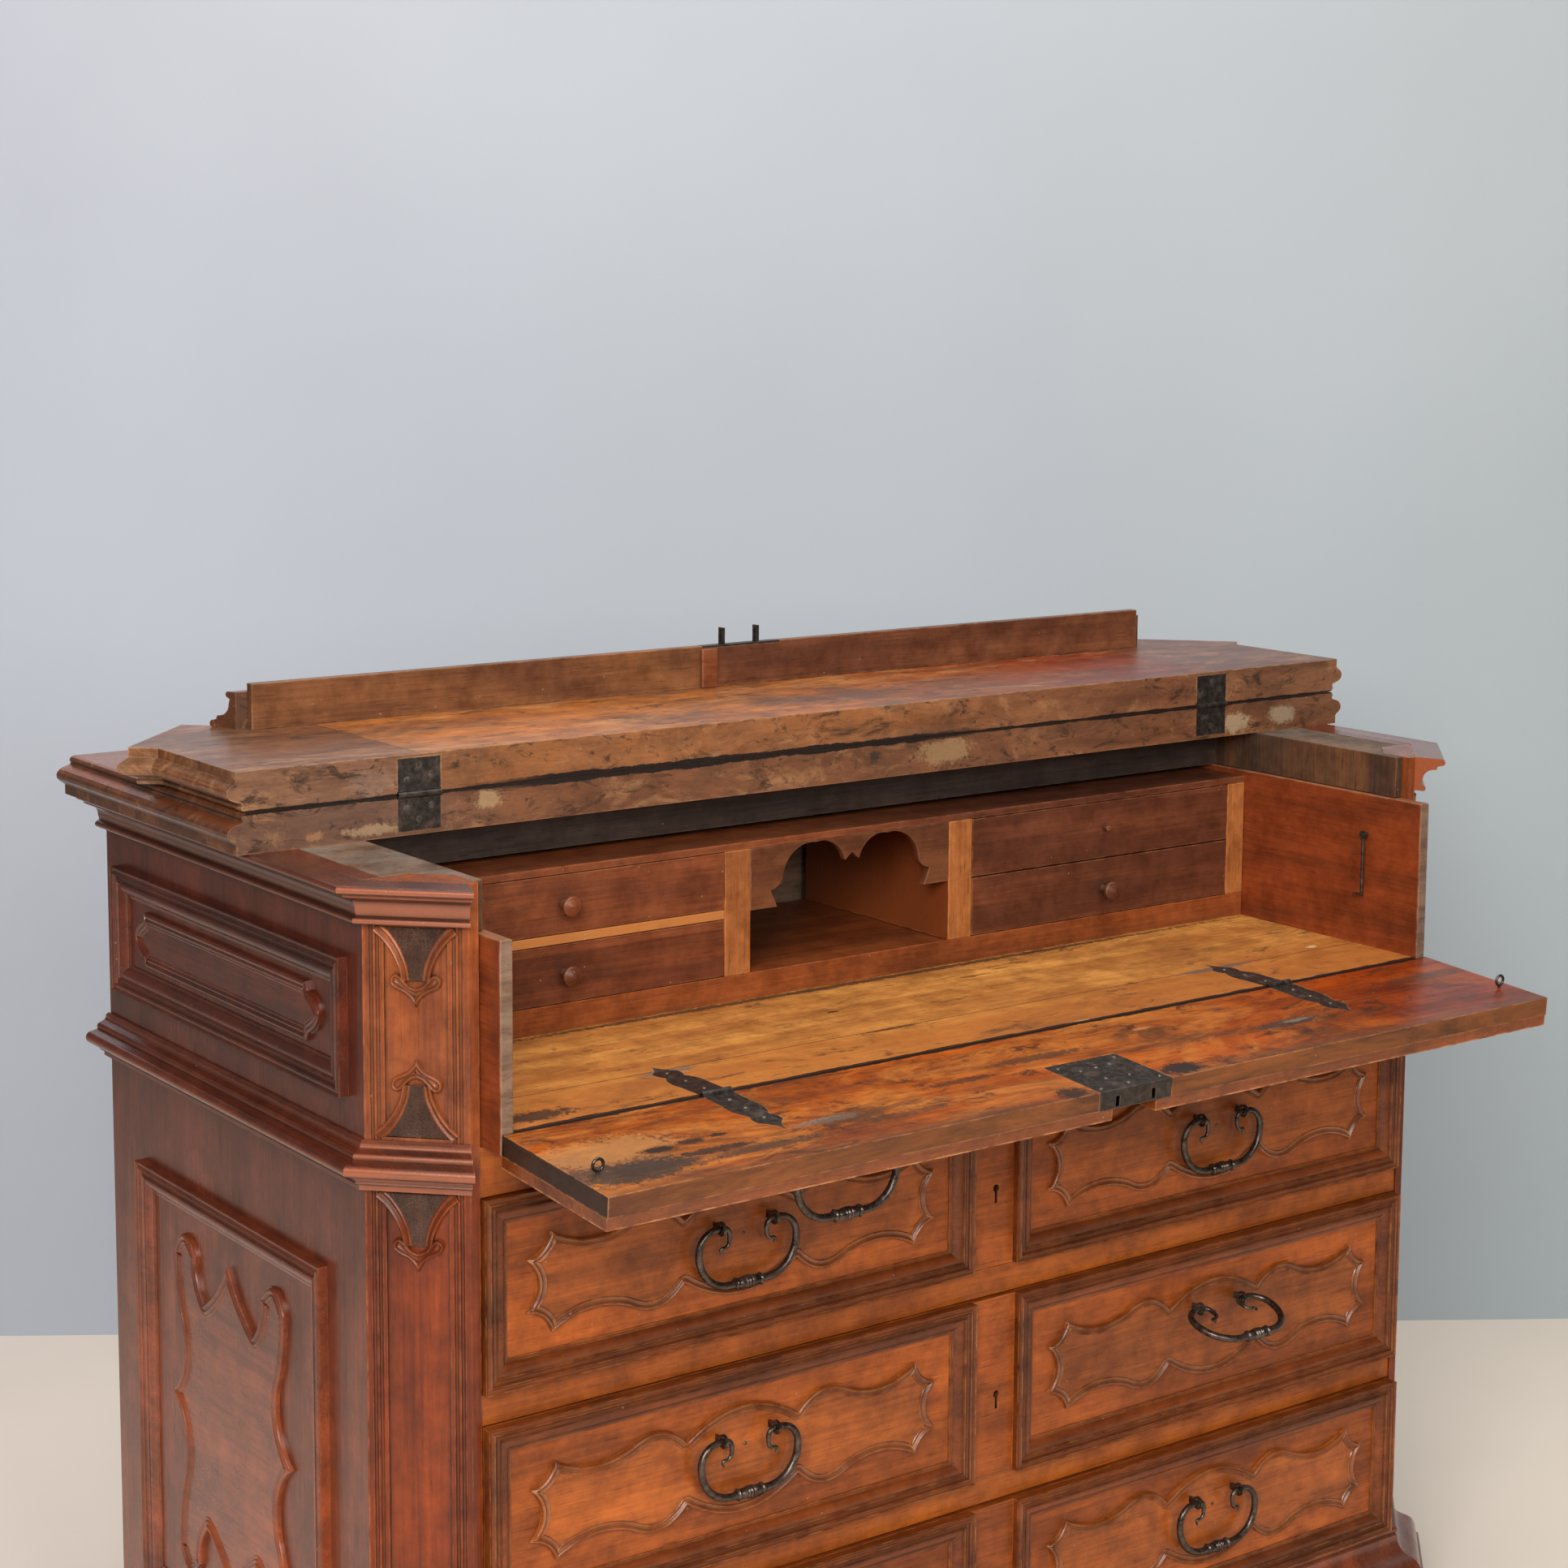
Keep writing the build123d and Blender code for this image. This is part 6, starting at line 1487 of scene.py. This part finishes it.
# %% Floor and wall
def plain(name, colour, rough, painted_light_top=None, painted_shade_right=(1, 1, 1)):
    """A plain matt paint with a slight unevenness and painted light: lighter towards the left, tinted
    towards the right, and shifting to another colour higher up.
    """
    material = bpy.data.materials.new(name)
    material.use_nodes = True
    tree = material.node_tree
    here = put(tree, "ShaderNodeTexCoord").outputs["Object"]
    uneven = spread(tree, noise(tree, here, 1.4, 4.0), 0.3, 0.7, 0.96, 1.03)
    height = put(tree, "ShaderNodeSeparateXYZ", {0: here}).outputs["Z"]
    tint = blend(tree, spread(tree, height, 0.1, 2.3), (*colour, 1), (*(painted_light_top or colour), 1))
    across = put(tree, "ShaderNodeVectorMath", {0: here, 1: tuple(level)}, operation="DOT_PRODUCT")
    # Painted light across the room: lighter to the left, tinted to the right.
    painted_light_across = blend(
        tree, spread(tree, across.outputs["Value"], -1.6, 1.4), (1.12, 1.10, 1.14, 1), (*painted_shade_right, 1)
    )
    tint = blend(tree, 1.0, tint, painted_light_across, "MULTIPLY")
    shaded = put(tree, "ShaderNodeVectorMath", {0: tint}, operation="SCALE")
    tree.links.new(uneven, shaded.inputs["Scale"])
    tree.links.new(shaded.outputs[0], tree.nodes["Principled BSDF"].inputs["Base Color"])
    tree.nodes["Principled BSDF"].inputs["Roughness"].default_value = rough
    tree.nodes["Principled BSDF"].inputs["Specular IOR Level"].default_value = 0.2
    return material


def sheet_of(name, corners, material):
    """A flat sheet of the room."""
    mesh = bpy.data.meshes.new(name)
    mesh.from_pydata([tuple(c) for c in corners], [], [tuple(range(len(corners)))])
    mesh.materials.append(material)
    thing = bpy.data.objects.new(name, mesh)
    bpy.context.collection.objects.link(thing)
    return thing


# Painted light: the floor and the wall are painted lighter towards the left, and the wall darker towards
# the right and a little less blue higher up.
floor_paint = plain("floor_paint", (0.74, 0.66, 0.57), 0.7)
wall_paint = plain("wall_paint", (0.405, 0.455, 0.515), 0.9, (0.405, 0.436, 0.482), (0.86, 0.88, 0.84))
tree = wall_paint.node_tree
shader = tree.nodes["Principled BSDF"]
behind = put(tree, "ShaderNodeNewGeometry").outputs["Backfacing"]
clear = put(tree, "ShaderNodeBsdfTransparent").outputs[0]
either = put(tree, "ShaderNodeMixShader", {0: behind, 1: shader.outputs[0], 2: clear})
tree.links.new(either.outputs[0], tree.nodes["Material Output"].inputs["Surface"])
sheet_of("floor", [(-9, -9, 0), (9, -9, 0), (9, 9, 0), (-9, 9, 0)], floor_paint)
WALL_REACH = 4.37
flat_ahead = Vector((math.sin(YAW - 0.048), math.cos(YAW - 0.048), 0))
flat_right = Vector((flat_ahead.y, -flat_ahead.x, 0))
foot = Vector((EYE.x, EYE.y, 0)) + Vector((math.sin(YAW), math.cos(YAW), 0)) * WALL_REACH
corners = [foot - flat_right * 1.6, foot + flat_right * 4]
sheet_of("wall", [corners[0], corners[1], corners[1] + Vector((0, 0, 6)), corners[0] + Vector((0, 0, 6))],
         wall_paint)
print("wall foot at", [round(v, 2) for v in foot])

# %% [markdown]
# The light is soft and comes mostly from the upper left, from a window or a large umbrella,
# with a weaker one from the right and a pale sky all round.

# %% Lights
def lamp(name, place, aim, size, power, colour=(1, 1, 1)):
    """A square lamp that looks at a point."""
    data = bpy.data.lights.new(name, "AREA")
    data.shape, data.size, data.energy, data.color = "SQUARE", size, power, colour
    thing = bpy.data.objects.new(name, data)
    bpy.context.collection.objects.link(thing)
    thing.location = place
    thing.rotation_euler = (Vector(aim) - Vector(place)).to_track_quat("-Z", "Y").to_euler()


lamp("window", (-2.6, -2.5, 2.5), (0, 0, 0.7), 1.5, 135, (1.0, 0.96, 0.91))
lamp("fill", (-1.0, -4.6, 2.4), (0, 0, 0.7), 1.8, 95, (1.0, 0.97, 0.93))
lamp("ceiling", (-0.2, -0.6, 4.0), (0, 0, 0.5), 2.4, 95, (1.0, 0.98, 0.95))
world = bpy.data.worlds.new("pale_room")
bpy.context.scene.world = world
world.use_nodes = True
tree = world.node_tree
dim = tree.nodes["Background"]
dim.inputs["Color"].default_value, dim.inputs["Strength"].default_value = (0.95, 0.93, 0.90, 1), 0.12
pale = put(tree, "ShaderNodeBackground", {"Color": (0.55, 0.60, 0.64, 1), "Strength": 1.0})
seen = put(tree, "ShaderNodeLightPath").outputs["Is Camera Ray"]
sky = put(tree, "ShaderNodeMixShader", {0: seen, 1: dim.outputs[0], 2: pale.outputs[0]})
tree.links.new(sky.outputs[0], tree.nodes["World Output"].inputs["Surface"])
print(len(bpy.data.lights), "lamps")
